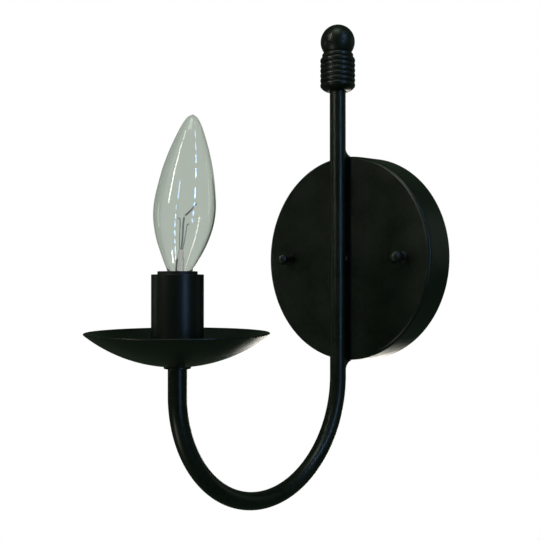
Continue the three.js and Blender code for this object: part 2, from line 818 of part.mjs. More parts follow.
add(candle, 'candle_sleeve', candleSleeve(), sleeveBlack);
add(candle, 'socket_bracket', socketBracket(), zincSteel);
add(candle, 'bracket_screw', bracketScrew(), zincSteel);
add(candle, 'socket_body', socketBody(), phenolic);
add(candle, 'socket_screw_shell', screwShell(), brass);
add(candle, 'socket_centre_contact', centreContact(), brass);

// ---------------------------------------------------------------- bulb

/** The bulb's metal base, threaded outside, with a small flared rim for the glass. */
function bulbBase() {
  const threadTop = bulbRimHeight - 1.4;
  const threadLow = bulbBaseBottom + 0.8;
  const threadWall = threadHeights(threadLow, threadTop).map((height) => [bulbThreadRadius, height]);
  const profile = [
    [bulbBaseBore, bulbBaseBottom],
    ...threadWall,
    [bulbThreadRadius + 0.2, bulbRimHeight - 0.6],
    [bulbThreadRadius, bulbRimHeight],
    [bulbBaseBore, bulbRimHeight],
    [bulbBaseBore, bulbBaseBottom],
  ];
  return threadedAboutZ(profile, bulbThreadRadius, threadLow, threadTop);
}

/** The black glass cone that insulates the bulb's tip contact. */
function baseInsulator() {
  const top = bulbBaseBottom + 1.2;
  const bottom = bulbBaseBottom - insulatorHeight;
  const profile = [
    [0, bottom + 0.2],
    [insulatorTipRadius, bottom],
    [bulbBaseBore - fit, bulbBaseBottom],
    [bulbBaseBore - fit, top],
    [0, top],
  ];
  return turnedAboutZ(profile, 24);
}

/** The solder dome at the bulb's tip. */
function tipContact() {
  const top = bulbBaseBottom - insulatorHeight - seat;
  const profile = [[0, top], [contactRadius, top], [contactRadius * 0.8, contactTip + 0.3], [0, contactTip]];
  return turnedAboutZ(profile, 20);
}

/** The glass envelope: a flame shape with a thin wall, open at the neck that the base holds. */
function bulbGlass() {
  const side = [
    [bulbNeckRadius, 1.6],
    [bulbNeckRadius, 6.2],
    [bulbRadius * 0.35, 9.2],
    [bulbRadius * 0.57, 16.2],
    [bulbRadius * 0.82, 25.6],
    [bulbRadius * 0.965, 34.5],
    [bulbRadius, 42.6],
    [bulbRadius * 0.95, 50.5],
    [bulbRadius * 0.83, 61],
    [bulbRadius * 0.675, 70],
    [bulbRadius * 0.51, 77.5],
    [bulbRadius * 0.34, 84],
    [bulbRadius * 0.185, 88.3],
    [bulbRadius * 0.07, bulbHeight - 0.5],
    [0, bulbHeight],
  ];
  const outer = new THREE.SplineCurve(pairs(side)).getPoints(18);
  const inner = outer.map((point, index) => {
    const ahead = outer[Math.min(index + 1, outer.length - 1)];
    const behind = outer[Math.max(index - 1, 0)];
    const along = ahead.clone().sub(behind).normalize();
    return point.clone().add(new THREE.Vector2(-along.y, along.x).multiplyScalar(bulbWall));
  });
  inner[0].set(bulbNeckRadius - bulbWall, side[0][1]);
  inner[inner.length - 1].set(0, bulbHeight - 2 * bulbWall);
  const cavity = inner.filter((point, index) => point.x > 0 || index === inner.length - 1);
  const profile = [...outer.reverse(), ...cavity];
  return turnedAboutZ(profile.map((point) => point.toArray()), 24);
}

/** The glass stem inside the neck: a flared foot, a tube and the flat press that holds the wires. */
function glassStem() {
  const pressFrom = 16.5;
  const pressTop = 21.4;
  const tube = turnedAboutZ(
    [
      [0, 3],
      [bulbNeckRadius - bulbWall - fit, 3],
      [stemRadius, 6],
      [stemRadius, pressFrom],
      [stemRadius * 0.6, pressFrom + 1.4],
      [0, pressFrom + 1.4],
    ],
    20,
  );
  const pressMiddle = (pressTop + pressFrom) / 2;
  const press = box(stemRadius * 1.15, stemRadius * 1.9, pressTop - pressFrom, 0, 0, pressMiddle);
  return tube.add(press);
}

const wireFoot = 21.7;
const wireTop = 38;
const filamentApex = [5.6, 0, 45.2];

/** A wire up from the press, one behind the other along Y. */
const leadWire = (side) => wireAlong([
  [0, side * 1.1, wireFoot],
  [0.15, side * 1.3, 27],
  [-0.1, side * 1.6, 33],
  [0, side * 1.7, wireTop],
], wireRadius, 2, 6);

/** A thinner support wire that ends in a small hook. */
const supportWire = (side, top) => wireAlong([
  [side * 0.7, 0, wireFoot],
  [side * 1.3, 0, 27],
  [side * 1.7, 0, top - 2],
  [side * 2, 0, top],
  [side * 3.1, 0, top + 0.2],
], wireRadius * 0.8, 2, 6);

/** The coiled filament, as its outer shape: up from one wire to its apex and back to the other. */
const filament = () => wireAlong([
  [0.5, -1.7, wireTop + 0.9],
  [3, -1.2, 41.6],
  filamentApex,
  [3, 1.2, 41.6],
  [0.5, 1.7, wireTop + 0.9],
], filamentRadius, 4, 8);

add(candle, 'bulb_base', bulbBase(), nickel);
add(candle, 'bulb_base_insulator', baseInsulator(), blackGlass);
add(candle, 'bulb_tip_contact', tipContact(), nickel);
add(leaningBulb, 'bulb_glass', bulbGlass(), clearGlass);
add(leaningBulb, 'bulb_glass_stem', glassStem(), clearGlass);
add(leaningBulb, 'bulb_front_lead_wire', leadWire(-1), tungsten);
add(leaningBulb, 'bulb_back_lead_wire', leadWire(1), tungsten);
add(leaningBulb, 'bulb_left_support_wire', supportWire(-1, 37), tungsten);
add(leaningBulb, 'bulb_right_support_wire', supportWire(1, 34.5), tungsten);
add(leaningBulb, 'bulb_filament', filament(), tungsten);

// ---------------------------------------------------------------- leads and connectors

/** A lead's route: from a socket tab down the leg, round the arm, up the rod and out into the canopy. */
function leadPoints(side, tabX, insideCanopy) {
  const x = side * leadOffset;
  const tabBottom = socketBottom - tabReach - fit;
  const points = [
    [tabX, candleY, tabBottom],
    [tabX * 0.85, candleY, tabBottom - 2.6],
    [tabX * 0.4, candleY, tabBottom - 5],
    [x, candleY, legTop - 0.5],
    [x, candleY, (legTop + bendCentreZ) / 2],
  ];
  for (let angle = 180; angle >= 0; angle -= 15) {
    const [y, z] = arc(bendCentreY, bendCentreZ, bendRadius, -angle, -angle, 1)[0];
    points.push([x, y, z]);
  }
  points.push(
    [x, rodY, bendCentreZ * 0.66],
    [x, rodY, bendCentreZ * 0.33],
    [x, rodY, -9],
    [x, rodY + 0.3, -4.5],
    [x, rodY + 1.8, -1.2],
    [x, rodY + tubeRadius, 0],
    [x, faceY + 3, 0],
  );
  return [...points, ...insideCanopy];
}

const connectorMiddleY = (faceY + canopyWall - crossbarThickness) / 2;
const connectorX = 18;
const connectorZ = -21;

/** Where a lead runs inside the canopy, sideways and down to its connector. */
const insideCanopy = (side) => [
  [side * 2.6, connectorMiddleY - 2.5, -1.6],
  [side * 6, connectorMiddleY, -7.5],
  [side * 10, connectorMiddleY, -15],
  [side * 14.5, connectorMiddleY, connectorZ + 0.8],
  [side * (connectorX + 2.5), connectorMiddleY, connectorZ],
];

/** The ground lead: a hook round the ground screw, then down to its connector. */
function groundLeadPoints() {
  const hookY = -crossbarThickness - groundLeadRadius - fit;
  const hookRadius = groundScrewRadius + groundLeadRadius + fit;
  const hook = arc(groundScrewX, 0, hookRadius, 110, -100, 8).map(([x, z]) => [x, hookY, z]);
  return [
    ...hook,
    [groundScrewX - 4.5, hookY - 0.6, -5.2],
    [groundScrewX - 8, hookY - 3.5, -13],
    [4.6, connectorMiddleY + 0.6, -22],
    [4, connectorMiddleY, -28],
    [4, connectorMiddleY, -33.5],
  ];
}

/** A twist-on wire connector about Z, its mouth at the top. */
function wireConnector() {
  const profile = [
    [0, -connectorLength],
    [connectorTip - 0.6, -connectorLength],
    [connectorTip, -connectorLength + 0.8],
    [connectorMouth - 0.8, -5],
    [connectorMouth, -3.6],
    [connectorMouth, 0],
    [connectorMouth - 0.9, 0],
    [connectorBore, -3],
    [connectorBore, -connectorDepth],
    [0, -connectorDepth],
  ];
  return turnedAboutZ(profile, 16);
}

const hotPoints = leadPoints(-1, contactTabX, insideCanopy(-1));
const neutralPoints = leadPoints(1, screwTabX, insideCanopy(1));
add(sconce, 'hot_lead', wireAlong(hotPoints, leadRadius, 2), blackLead);
add(sconce, 'neutral_lead', wireAlong(neutralPoints, leadRadius, 2), whiteLead);
add(sconce, 'ground_lead', wireAlong(groundLeadPoints(), groundLeadRadius, 2), copper);

const sideways = (side) => wireConnector()
  .rotate([0, -90 * side, 0])
  .translate([side * connectorX, connectorMiddleY, connectorZ]);
add(sconce, 'hot_wire_connector', sideways(-1), orangePlastic);
add(sconce, 'neutral_wire_connector', sideways(1), orangePlastic);
add(sconce, 'ground_wire_connector', wireConnector().translate([4, connectorMiddleY, -31]), greenPlastic);

export default sconce;
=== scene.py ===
# %% [markdown]
# # A wall sconce with one candle arm
# The object is a painted steel wall light. A round canopy sits on the wall. A bent tube hangs from its
# face, passes under and comes up again to carry a drip pan, a candle tube and a clear bulb.
# Engineering solids for every part are already packed and they also drive the motion. Here each part
# that can be seen gets a finer mesh in the same place, and every part gets a finish built from nodes.

import math

import bmesh
import bpy
from bmesh.types import BMEdge, BMVert
from mathutils import Matrix, Vector

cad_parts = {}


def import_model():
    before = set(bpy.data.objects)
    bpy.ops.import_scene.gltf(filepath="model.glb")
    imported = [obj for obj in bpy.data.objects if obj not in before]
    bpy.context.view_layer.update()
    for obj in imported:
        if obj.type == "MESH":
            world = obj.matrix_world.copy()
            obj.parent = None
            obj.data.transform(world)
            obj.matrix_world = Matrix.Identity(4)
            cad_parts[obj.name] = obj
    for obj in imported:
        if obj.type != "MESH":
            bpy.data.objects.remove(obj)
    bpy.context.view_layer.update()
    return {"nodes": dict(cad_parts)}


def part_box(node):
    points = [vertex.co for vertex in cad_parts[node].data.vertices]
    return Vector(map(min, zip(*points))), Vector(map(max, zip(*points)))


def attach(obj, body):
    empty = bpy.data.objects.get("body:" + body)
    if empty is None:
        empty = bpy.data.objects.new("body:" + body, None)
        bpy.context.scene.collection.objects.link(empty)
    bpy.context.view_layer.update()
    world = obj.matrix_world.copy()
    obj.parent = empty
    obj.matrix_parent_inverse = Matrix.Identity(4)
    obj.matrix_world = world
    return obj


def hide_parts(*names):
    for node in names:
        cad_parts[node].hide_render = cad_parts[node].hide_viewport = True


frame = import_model()

# %% [markdown]
# ## Working in millimetres
# Blender counts in metres, but the parts are a few millimetres thick, and most of them are turned.
# So every mesh is drawn in millimetres round its own upright axis, and a matrix then puts it in its
# place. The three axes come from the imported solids: the canopy's points out of the wall, and the
# rod's and the candle's stand up. The bulb leans a little on its screw base, so it has its own.

# %% Axes of the pieces
MM = 0.001


def span(node):
    """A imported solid's lowest and highest corners, in millimetres."""
    return tuple(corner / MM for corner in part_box(node))


def depths(node):
    """How far from the wall a solid begins and ends, in millimetres."""
    low, high = span(node)
    return -high.y, -low.y


def middle_y(node):
    """The Y value of a solid's middle, in millimetres."""
    return -sum(depths(node)) / 2


ROD_Y = middle_y("finial_ball")
CANDLE_Y = middle_y("candle_sleeve")
LEAN_PIVOT = -19.5
LEAN = 4.9
LEAN_TOWARDS = 43.6
OUT_FROM_WALL = Matrix.Rotation(math.radians(90), 4, "X")
ON_ROD = Matrix.Translation((0, ROD_Y, 0))
ON_CANDLE = Matrix.Translation((0, CANDLE_Y, 0))
ON_BULB = (
    Matrix.Translation((0, CANDLE_Y, LEAN_PIVOT))
    @ Matrix.Rotation(math.radians(LEAN_TOWARDS), 4, "Z")
    @ Matrix.Rotation(math.radians(LEAN), 4, "Y")
)
print(f"rod at y {ROD_Y:.2f} mm, candle at y {CANDLE_Y:.2f} mm")

# %% [markdown]
# ## Turning, rounding and finishing a mesh
# Spun metal, turned metal and blown glass all have one outline that goes round an axis, so one helper
# spins an outline, merges the doubled points at a pole and turns the faces outwards. Another bevels
# the sharp edges, because a real edge always catches a little light. The last one makes the object,
# marks which edges stay sharp, hangs it on an empty for the body it rides on and hides the imported
# solids it stands for.


# %% Shaping helpers
def arc(across, along, radius, start, end, steps):
    """Points on part of a circle, from one angle to another in degrees."""
    angles = [math.radians(start + (end - start) * step / steps) for step in range(steps + 1)]
    return [(across + radius * math.cos(a), along + radius * math.sin(a)) for a in angles]


def smooth_line(points, steps):
    """A smooth line through some points, with so many steps from each to the next."""
    points = [Vector(point) for point in points]
    ends = [2 * points[0] - points[1], *points, 2 * points[-1] - points[-2]]
    line = []
    for before, start, end, after in zip(ends, ends[1:], ends[2:], ends[3:]):
        for step in range(steps):
            t = step / steps
            pull = (end - before) * (t - 2 * t**2 + t**3) / 2 + (after - start) * (t**3 - t**2) / 2
            line.append(start * (1 - 3 * t**2 + 2 * t**3) + end * (3 * t**2 - 2 * t**3) + pull)
    return [*line, points[-1]]


def outline_of(bm, points, closed):
    """Adds a chain of points and edges to a bmesh, and returns them."""
    verts = [bm.verts.new(point) for point in points]
    pairs = zip(verts, verts[1:] + verts[:1]) if closed else zip(verts, verts[1:])
    return verts, [bm.edges.new(pair) for pair in pairs]


def only(kind, parts):
    """The points, or the edges, among a mixed list of mesh parts."""
    return [part for part in parts if isinstance(part, kind)]


def outward(bm):
    """Turns a closed or nearly closed mesh the right way out."""
    if bm.calc_volume(signed=True) < 0:
        bmesh.ops.reverse_faces(bm, faces=bm.faces)


def merged(bm):
    """Closes the seams and poles of a mesh and turns its faces outwards."""
    bmesh.ops.remove_doubles(bm, verts=bm.verts, dist=1e-4)
    bmesh.ops.recalc_face_normals(bm, faces=bm.faces)
    return bm


def turned(outline, sides=96, closed=False):
    """An outline of (radius, height) spun all the way round the upright axis."""
    bm = bmesh.new()
    verts, edges = outline_of(bm, [(radius, 0, height) for radius, height in outline], closed)
    bmesh.ops.spin(
        bm, geom=verts + edges, cent=(0, 0, 0), axis=(0, 0, 1), dvec=(0, 0, 0),
        angle=math.tau, steps=sides, use_merge=True, use_duplicate=False,
    )
    return merged(bm)


def soften(bm, width, segments=2, sharper_than=35):
    """Bevels every edge that is sharper than so many degrees."""
    limit = math.radians(sharper_than)
    edges = [edge for edge in bm.edges if edge.is_manifold and edge.calc_face_angle() > limit]
    bmesh.ops.bevel(
        bm, geom=edges, offset=width, offset_type="OFFSET", segments=segments, profile=0.5,
        affect="EDGES", clamp_overlap=True, material=-1,
    )
    return bm


def prism(points, depth):
    """A flat outline of (x, y) with a thickness, from z = 0 upwards."""
    bm = bmesh.new()
    verts, _ = outline_of(bm, [(x, y, 0) for x, y in points], closed=True)
    face = bm.faces.new(verts)
    grown = bmesh.ops.extrude_face_region(bm, geom=[face])["geom"]
    bmesh.ops.translate(bm, verts=only(BMVert, grown), vec=(0, 0, depth))
    return merged(bm)


def plain_ring(inner, outer, low, high, sides):
    """A plain ring with a square section."""
    outline = [(inner, low), (outer, low), (outer, high), (inner, high)]
    return turned(outline, sides, closed=True)


def cylinder(radius, low, high, sides=48):
    """A plain round bar between two heights, used to cut holes."""
    return turned([(0, low), (radius, low), (radius, high), (0, high)], sides)


def moved(bm, matrix):
    """The same mesh, put somewhere else."""
    bmesh.ops.transform(bm, matrix=matrix, verts=bm.verts)
    return bm


def plain_object(bm, name):
    """An object round a bmesh, linked to the scene."""
    mesh = bpy.data.meshes.new(name)
    bm.to_mesh(mesh)
    bm.free()
    thing = bpy.data.objects.new(name, mesh)
    bpy.context.scene.collection.objects.link(thing)
    return thing


def combined(bm, operation, *others):
    """A bmesh with others cut out of it (DIFFERENCE) or joined to it (UNION)."""
    blank = plain_object(bm, "blank")
    tools = [plain_object(other, "tool") for other in others]
    for tool in tools:
        modifier = blank.modifiers.new("boolean", "BOOLEAN")
        modifier.object = tool
        modifier.operation = operation
        modifier.solver = "EXACT"
    result = bmesh.new()
    result.from_object(blank, bpy.context.evaluated_depsgraph_get())
    for thing in [blank, *tools]:
        bpy.data.meshes.remove(thing.data)
    return merged(result)


def tube_along(points, radius, sides=12):
    """A round wire with closed ends along a line of points."""
    curve = bpy.data.curves.new("route", "CURVE")
    curve.dimensions = "3D"
    curve.bevel_depth = radius
    curve.bevel_resolution = sides // 2 - 2
    curve.use_fill_caps = True
    spline = curve.splines.new("POLY")
    spline.points.add(len(points) - 1)
    for place, point in zip(spline.points, points):
        place.co = (*point, 1)
    route = bpy.data.objects.new("route", curve)
    bpy.context.scene.collection.objects.link(route)
    depsgraph = bpy.context.evaluated_depsgraph_get()
    mesh = bpy.data.meshes.new_from_object(route.evaluated_get(depsgraph))
    bm = bmesh.new()
    bm.from_mesh(mesh)
    bpy.data.meshes.remove(mesh)
    bpy.data.curves.remove(curve)
    return merged(bm)


def thread(bm, radius, pitch, wave, low, high):
    """Works a right-hand thread into the upright wall at one radius, fading out at its ends."""
    for vert in bm.verts:
        flat = Vector((vert.co.x, vert.co.y))
        if abs(flat.length - radius) > 0.01 or not low <= vert.co.z <= high:
            continue
        phase = vert.co.z / pitch * math.tau - math.atan2(flat.y, flat.x)
        fade = min(1, (vert.co.z - low) / pitch * 2, (high - vert.co.z) / pitch * 2)
        flat *= (radius + wave * fade * math.cos(phase)) / radius
        vert.co.x, vert.co.y = flat
    return bm


def levels(low, high, gap):
    """Heights from low to high, about one gap apart."""
    count = max(1, round(abs(high - low) / gap))
    return [low + (high - low) * step / count for step in range(count + 1)]


# %% [markdown]
# ## Finishes as small programs
# Each finish is one Principled shader. What changes over the surface feeds its colour, its roughness
# or its bump, and a number that is the same everywhere is set on the shader itself. A small class
# wraps a node's output so that 0.4 + 0.1 * grain writes the Math nodes, and one method adds any
# other node. Patterns read Object coordinates, so a pattern has the same scale on every piece.


# %% The shader helpers
class Signal:
    """One node's output, with arithmetic that adds Math nodes."""

    def __init__(self, finish, socket):
        self.finish = finish
        self.socket = socket

    def maths(self, operation, first, second):
        return self.finish.node("Math", {"operation": operation}, {0: first, 1: second})

    def __add__(self, other):
        return self.maths("ADD", self, other)

    def __mul__(self, other):
        return self.maths("MULTIPLY", self, other)

    def __pow__(self, other):
        return self.maths("POWER", self, other)

    __radd__ = __add__
    __rmul__ = __mul__


class Finish:
    """A material with one Principled shader and the nodes that feed it."""

    def __init__(self, slot, constants):
        self.material = bpy.data.materials.new(slot)
        self.material.use_nodes = True
        self.tree = self.material.node_tree
        self.shader = self.tree.nodes["Principled BSDF"]
        for name, value in constants.items():
            self.shader.inputs[name].default_value = value

    def node(self, kind, settings, inputs, output=0):
        """Adds a node: its settings first, then the values or links of its sockets."""
        node = self.tree.nodes.new("ShaderNode" + kind)
        for name, value in settings.items():
            setattr(node, name, value)
        for name, value in inputs.items():
            if isinstance(value, Signal):
                self.tree.links.new(value.socket, node.inputs[name])
            else:
                node.inputs[name].default_value = value
        return Signal(self, node.outputs[output])

    def noise(self, size, detail=2, stretch=(1, 1, 1), roughness=0.5):
        """Smooth noise with lumps of so many millimetres, 0 to 1 and mostly round a half."""
        place = self.node("TexCoord", {}, {}, "Object")
        place = self.node("Mapping", {}, {"Vector": place, "Scale": stretch})
        inputs = {"Vector": place, "Scale": 1 / (size * MM), "Detail": detail, "Roughness": roughness}
        return self.node("TexNoise", {}, inputs)

    def clear(self, signal, low, high):
        """The signal stretched so that low becomes 0 and high becomes 1."""
        inputs = {"Value": signal, "From Min": low, "From Max": high}
        return self.node("MapRange", {"interpolation_type": "SMOOTHSTEP"}, inputs)

    def mix(self, factor, first, second):
        """A colour between two colours."""
        inputs = {0: factor, 6: colour(first), 7: colour(second)}
        return self.node("Mix", {"data_type": "RGBA"}, inputs, 2)

    def feed(self, name, signal):
        self.tree.links.new(signal.socket, self.shader.inputs[name])

    def emboss(self, height, depth):
        """Raises the surface by the height signal times so many millimetres."""
        inputs = {"Height": height, "Distance": depth * MM, "Strength": 1.0}
        self.feed("Normal", self.node("Bump", {}, inputs))


def colour(value):
    """A colour with its alpha, or a colour signal as it is."""
    return value if isinstance(value, Signal) else (*value, 1)


finishes = {}


def new_finish(slot, constants):
    finishes[slot] = Finish(slot, constants)
    return finishes[slot]


# %% [markdown]
# ## The black powder coat
# Powder coat is baked on as a dry dust that melts, so it flows into a fine orange peel and never lies
# quite flat. On this sconce it is almost black with a trace of green, and its sheen comes and goes in
# soft patches. A slow and a quicker noise move the colour and the roughness together, and two finer
# ones make the peel in the bump.

# %% Powder coat
coat = new_finish("black_coat", {"IOR": 1.5, "Metallic": 0.0})
patches = coat.clear(coat.noise(17, detail=3, roughness=0.55), 0.36, 0.64)
mottle = coat.clear(coat.noise(1.9, detail=4, roughness=0.68), 0.34, 0.66)
peel = coat.noise(1.6, detail=1)
grain = coat.noise(0.34, detail=1)
coat_colour = coat.mix(mottle, (0.0006, 0.0020, 0.0008), (0.0066, 0.0126, 0.0064))
coat_colour = coat.mix(0.45 * patches, coat_colour, (0.0096, 0.0150, 0.0084))
coat.feed("Base Color", coat_colour)
coat.feed("Roughness", 0.27 + 0.08 * patches + 0.05 * mottle + 0.02 * grain)
coat.emboss(0.9 * peel + 0.1 * grain, 0.004)

# %% [markdown]
# ## The candle tube and the socket
# The candle tube is a thin extruded cover, smoother than the coat: faint lines run along it from the
# die. The socket is moulded phenolic, duller and slightly brown, with a fine moulded grain.

# %% Sleeve and phenolic
sleeve_black = new_finish("sleeve_black", {"IOR": 1.5})
draw_lines = sleeve_black.noise(1.2, detail=3, stretch=(1, 1, 0.02))
soft = sleeve_black.noise(9, detail=3)
sleeve_black.feed("Base Color", sleeve_black.mix(soft, (0.0018, 0.0034, 0.0026), (0.0046, 0.0070, 0.0056)))
sleeve_black.feed("Roughness", 0.30 + 0.08 * soft + 0.06 * draw_lines)
sleeve_black.emboss(draw_lines, 0.004)

phenolic = new_finish("phenolic", {"IOR": 1.55})
mottle = phenolic.noise(2.5, detail=4)
pores = phenolic.noise(0.3, detail=1)
phenolic.feed("Base Color", phenolic.mix(mottle, (0.004, 0.004, 0.0036), (0.011, 0.0105, 0.0095)))
phenolic.feed("Roughness", 0.42 + 0.14 * mottle)
phenolic.emboss(pores, 0.012)

# %% [markdown]
# ## Plated and bare metals
# The hidden hardware is zinc plated: bluish grey with cloudy crystal patches. Brass and the lamp's
# nickelled base are brighter and show turning lines round their axis. Copper has brown tarnish.
# One helper paints them all: two tones that patches mix, and fine scratches in the bump.


# %% Metals
def metal(slot, bright, dull, roughness, patch, scratches=(1, 1, 0.1), depth=0.006):
    """A metal with tarnish or plating patches and fine scratches."""
    plate = new_finish(slot, {"Metallic": 1.0})
    cloud = plate.noise(patch, detail=4, roughness=0.62)
    lines = plate.noise(0.5, detail=2, stretch=scratches)
    plate.feed("Base Color", plate.mix(plate.clear(cloud, 0.35, 0.65), bright, dull))
    plate.feed("Roughness", roughness + 0.14 * cloud + 0.10 * lines)
    plate.emboss(lines, depth)


metal("zinc_steel", (0.50, 0.52, 0.53), (0.30, 0.32, 0.33), 0.26, 2.4)
metal("brass", (0.72, 0.52, 0.25), (0.42, 0.27, 0.11), 0.22, 3.5, scratches=(0.2, 0.2, 2))
metal("lamp_base_metal", (0.66, 0.63, 0.57), (0.42, 0.40, 0.35), 0.22, 3, scratches=(0.2, 0.2, 2))
metal("bare_copper", (0.72, 0.36, 0.19), (0.30, 0.14, 0.08), 0.28, 2, scratches=(0.3, 0.3, 2))
metal("lamp_wire", (0.42, 0.43, 0.47), (0.22, 0.22, 0.25), 0.30, 0.8, depth=0.002)
print("finishes so far:", sorted(finishes))

# %% [markdown]
# ## Plastics and insulation
# The bushing, the leads' insulation, the twist-on connectors and the dyed ground screw are small
# moulded or coloured things. Each has a slightly uneven colour and a moulded or extruded grain.


# %% Plastics
def plastic(slot, pale, deep, roughness, grain_size=0.4, stretch=(1, 1, 1), metallic=0.0):
    """A moulded or extruded plastic, slightly uneven in colour and gloss."""
    resin = new_finish(slot, {"IOR": 1.49, "Metallic": metallic})
    cloud = resin.noise(3, detail=3)
    texture = resin.noise(grain_size, detail=1, stretch=stretch)
    resin.feed("Base Color", resin.mix(cloud, pale, deep))
    resin.feed("Roughness", roughness + 0.15 * cloud)
    resin.emboss(texture, 0.01)


plastic("black_plastic", (0.012, 0.013, 0.012), (0.006, 0.007, 0.006), 0.66)
plastic("connector_orange", (0.60, 0.15, 0.020), (0.42, 0.09, 0.014), 0.40)
plastic("connector_green", (0.035, 0.20, 0.045), (0.020, 0.13, 0.030), 0.40)
plastic("black_lead", (0.014, 0.014, 0.014), (0.007, 0.007, 0.008), 0.38, stretch=(1, 0.1, 0.1))
plastic("white_lead", (0.72, 0.69, 0.62), (0.58, 0.55, 0.48), 0.38, stretch=(1, 0.1, 0.1))
plastic("green_screw", (0.03, 0.22, 0.06), (0.015, 0.12, 0.04), 0.26, metallic=0.6)
plastic("black_glass", (0.006, 0.006, 0.008), (0.012, 0.012, 0.015), 0.08)

# %% [markdown]
# ## Clear lamp glass
# Bulb glass is thin, blown and slightly uneven, with a faint grey-green cast. Its colour darkens where the
# wall is seen edge on, by Layer Weight. Part of this is the deeper cast along a longer path through the
# glass, and part is painted shade for the dim room that the rims would mirror. A slow noise gives the faint
# waves of blown glass, and a finer one leaves a little dust in the roughness. The stem is thicker lead
# glass, pinkish where it was pinched. Its walls are painted dark by Layer Weight, a painted shade that
# draws them as dark outlines.

# %% Glass
glass = new_finish("clear_glass", {"IOR": 1.56, "Transmission Weight": 1.0})
edge_on = glass.node("LayerWeight", {}, {"Blend": 0.5}, "Facing")
waves = glass.noise(11, detail=1)
dust = glass.noise(1.4, detail=3)
# Painted shade: the colour goes dark grey-green towards the rims, standing in for the dim room mirrored
# there, on top of the glass's own faint cast.
glass.feed("Base Color", glass.mix(edge_on**4, (0.945, 0.955, 0.95), (0.50, 0.53, 0.51)))
glass.feed("Roughness", 0.03 * dust)
glass.emboss(waves, 0.05)

lead_glass = new_finish("lead_glass", {"IOR": 1.56, "Transmission Weight": 1.0})
rim = lead_glass.node("LayerWeight", {}, {"Blend": 0.5}, "Facing")
swirl = lead_glass.noise(2.2, detail=2, stretch=(1, 1, 0.3))
# Painted shade: the stem's colour goes dark blue-grey towards its rims, drawing its walls as dark outlines.
lead_glass.feed("Base Color", lead_glass.mix(rim**1.6, (0.93, 0.86, 0.88), (0.16, 0.18, 0.24)))
lead_glass.feed("Roughness", 0.05 * swirl)
lead_glass.emboss(swirl, 0.04)
print(len(finishes), "finishes")


# %% Making an object from a mesh
def piece(bm, name, slot, body, *nodes, place=Matrix(), sharp=38, finish=None):
    """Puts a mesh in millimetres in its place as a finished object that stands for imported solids."""
    moved(bm, Matrix.Scale(MM, 4) @ place)
    outward(bm)
    bm.normal_update()
    limit = math.radians(sharp)
    for face in bm.faces:
        face.smooth = True
    for edge in bm.edges:
        edge.smooth = edge.is_manifold and edge.calc_face_angle() < limit
    open_edges = sum(not edge.is_manifold for edge in bm.edges)
    thing = plain_object(bm, name)
    thing.data.materials.append(finishes[finish or slot].material)
    normals = thing.modifiers.new("face normals", "WEIGHTED_NORMAL")
    normals.keep_sharp = True
    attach(thing, body)
    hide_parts(*nodes)
    size = ", ".join(f"{value / MM:.1f}" for value in thing.dimensions)
    print(f"{name}: {size} mm, {len(thing.data.polygons)} faces, {open_edges} open edges")
    return thing


# %% [markdown]
# ## The canopy
# The canopy is a deep steel pan, drawn from sheet over a die: a flat face, a tight round corner and a
# side with a trace of draft. Its skirt is spun here as a bare sheet, the flat face is filled between
# the skirt and the three punched holes, and solidify then gives the whole sheet its thickness.

# %% Canopy
canopy_low, canopy_high = span("canopy_pan")
FACE = -canopy_low.y
CANOPY_RADIUS = canopy_high.x
CANOPY_DRAFT = 0.5
CANOPY_CORNER = 1.8
CANOPY_WALL = 1.2
STUD_X = 44.45
STUD_HOLE = 2.25
BUSHING_HOLE = 4.2


def canopy():
    flat = CANOPY_RADIUS - CANOPY_DRAFT - CANOPY_CORNER
    corner = arc(flat, FACE - CANOPY_CORNER, CANOPY_CORNER, 90, 0, 7)
    side = [(CANOPY_RADIUS - 0.03, 1), (CANOPY_RADIUS, 0)]
    bm = turned([(flat - 2, FACE), *corner, *side], sides=160)
    for x, radius in ((-STUD_X, STUD_HOLE), (0, BUSHING_HOLE), (STUD_X, STUD_HOLE)):
        bmesh.ops.create_circle(bm, segments=40, radius=radius, matrix=Matrix.Translation((x, 0, FACE)))
    rings = [
        edge for edge in bm.edges
        if not edge.is_manifold and all(vert.co.z > FACE - 0.01 for vert in edge.verts)
    ]
    bmesh.ops.triangle_fill(bm, use_beauty=True, use_dissolve=False, edges=rings, normal=(0, 0, 1))
    merged(bm)
    if bm.faces[0].normal.z < 0:
        bmesh.ops.reverse_faces(bm, faces=bm.faces)
    bmesh.ops.solidify(bm, geom=bm.faces[:], thickness=CANOPY_WALL)
    return bm


piece(canopy(), "spun_canopy", "black_coat", "fixture", "canopy_pan", place=OUT_FROM_WALL)

# %% [markdown]
# ## Studs, lock nuts, washers and ball nuts
# Two threaded studs come forward from the crossbar through the canopy, and a ball nut on each pulls
# the canopy to the wall. The threads show when the nuts are off. A thread is a fine grid on a
# cylinder whose points move in and out along a helix. The ball nut is a sphere joined to a short
# turned neck, as if both were cut from one bar.

# %% Studs and their nuts
STUD_RADIUS = 1.95
STUD_PITCH = 0.7
NUT_BALL = 4.1
NUT_NECK = 2.75
WASHER_RADIUS = 3.6
LOCK_NUT_FLATS = 7
stud_back, stud_out = depths("left_stud")
lock_back, lock_front = depths("left_stud_lock_nut")
washer_back, washer_front = depths("left_nut_washer")
nut_back, nut_front = depths("left_ball_nut")


def threaded_bar(radius, low, high, pitch, chamfer=0.4, sides=28):
    """A screw or stud with a chamfer at each end."""
    depth = pitch * 0.2
    core = radius - depth
    rows = [(core, height) for height in levels(low + chamfer, high - chamfer, pitch / 7)]
    ends = [(0, low), (core - chamfer * 0.7, low)], [(core - chamfer * 0.7, high), (0, high)]
    bm = turned([*ends[0], *rows, *ends[1]], sides)
    return thread(bm, core, pitch, depth, low + chamfer, high - chamfer)


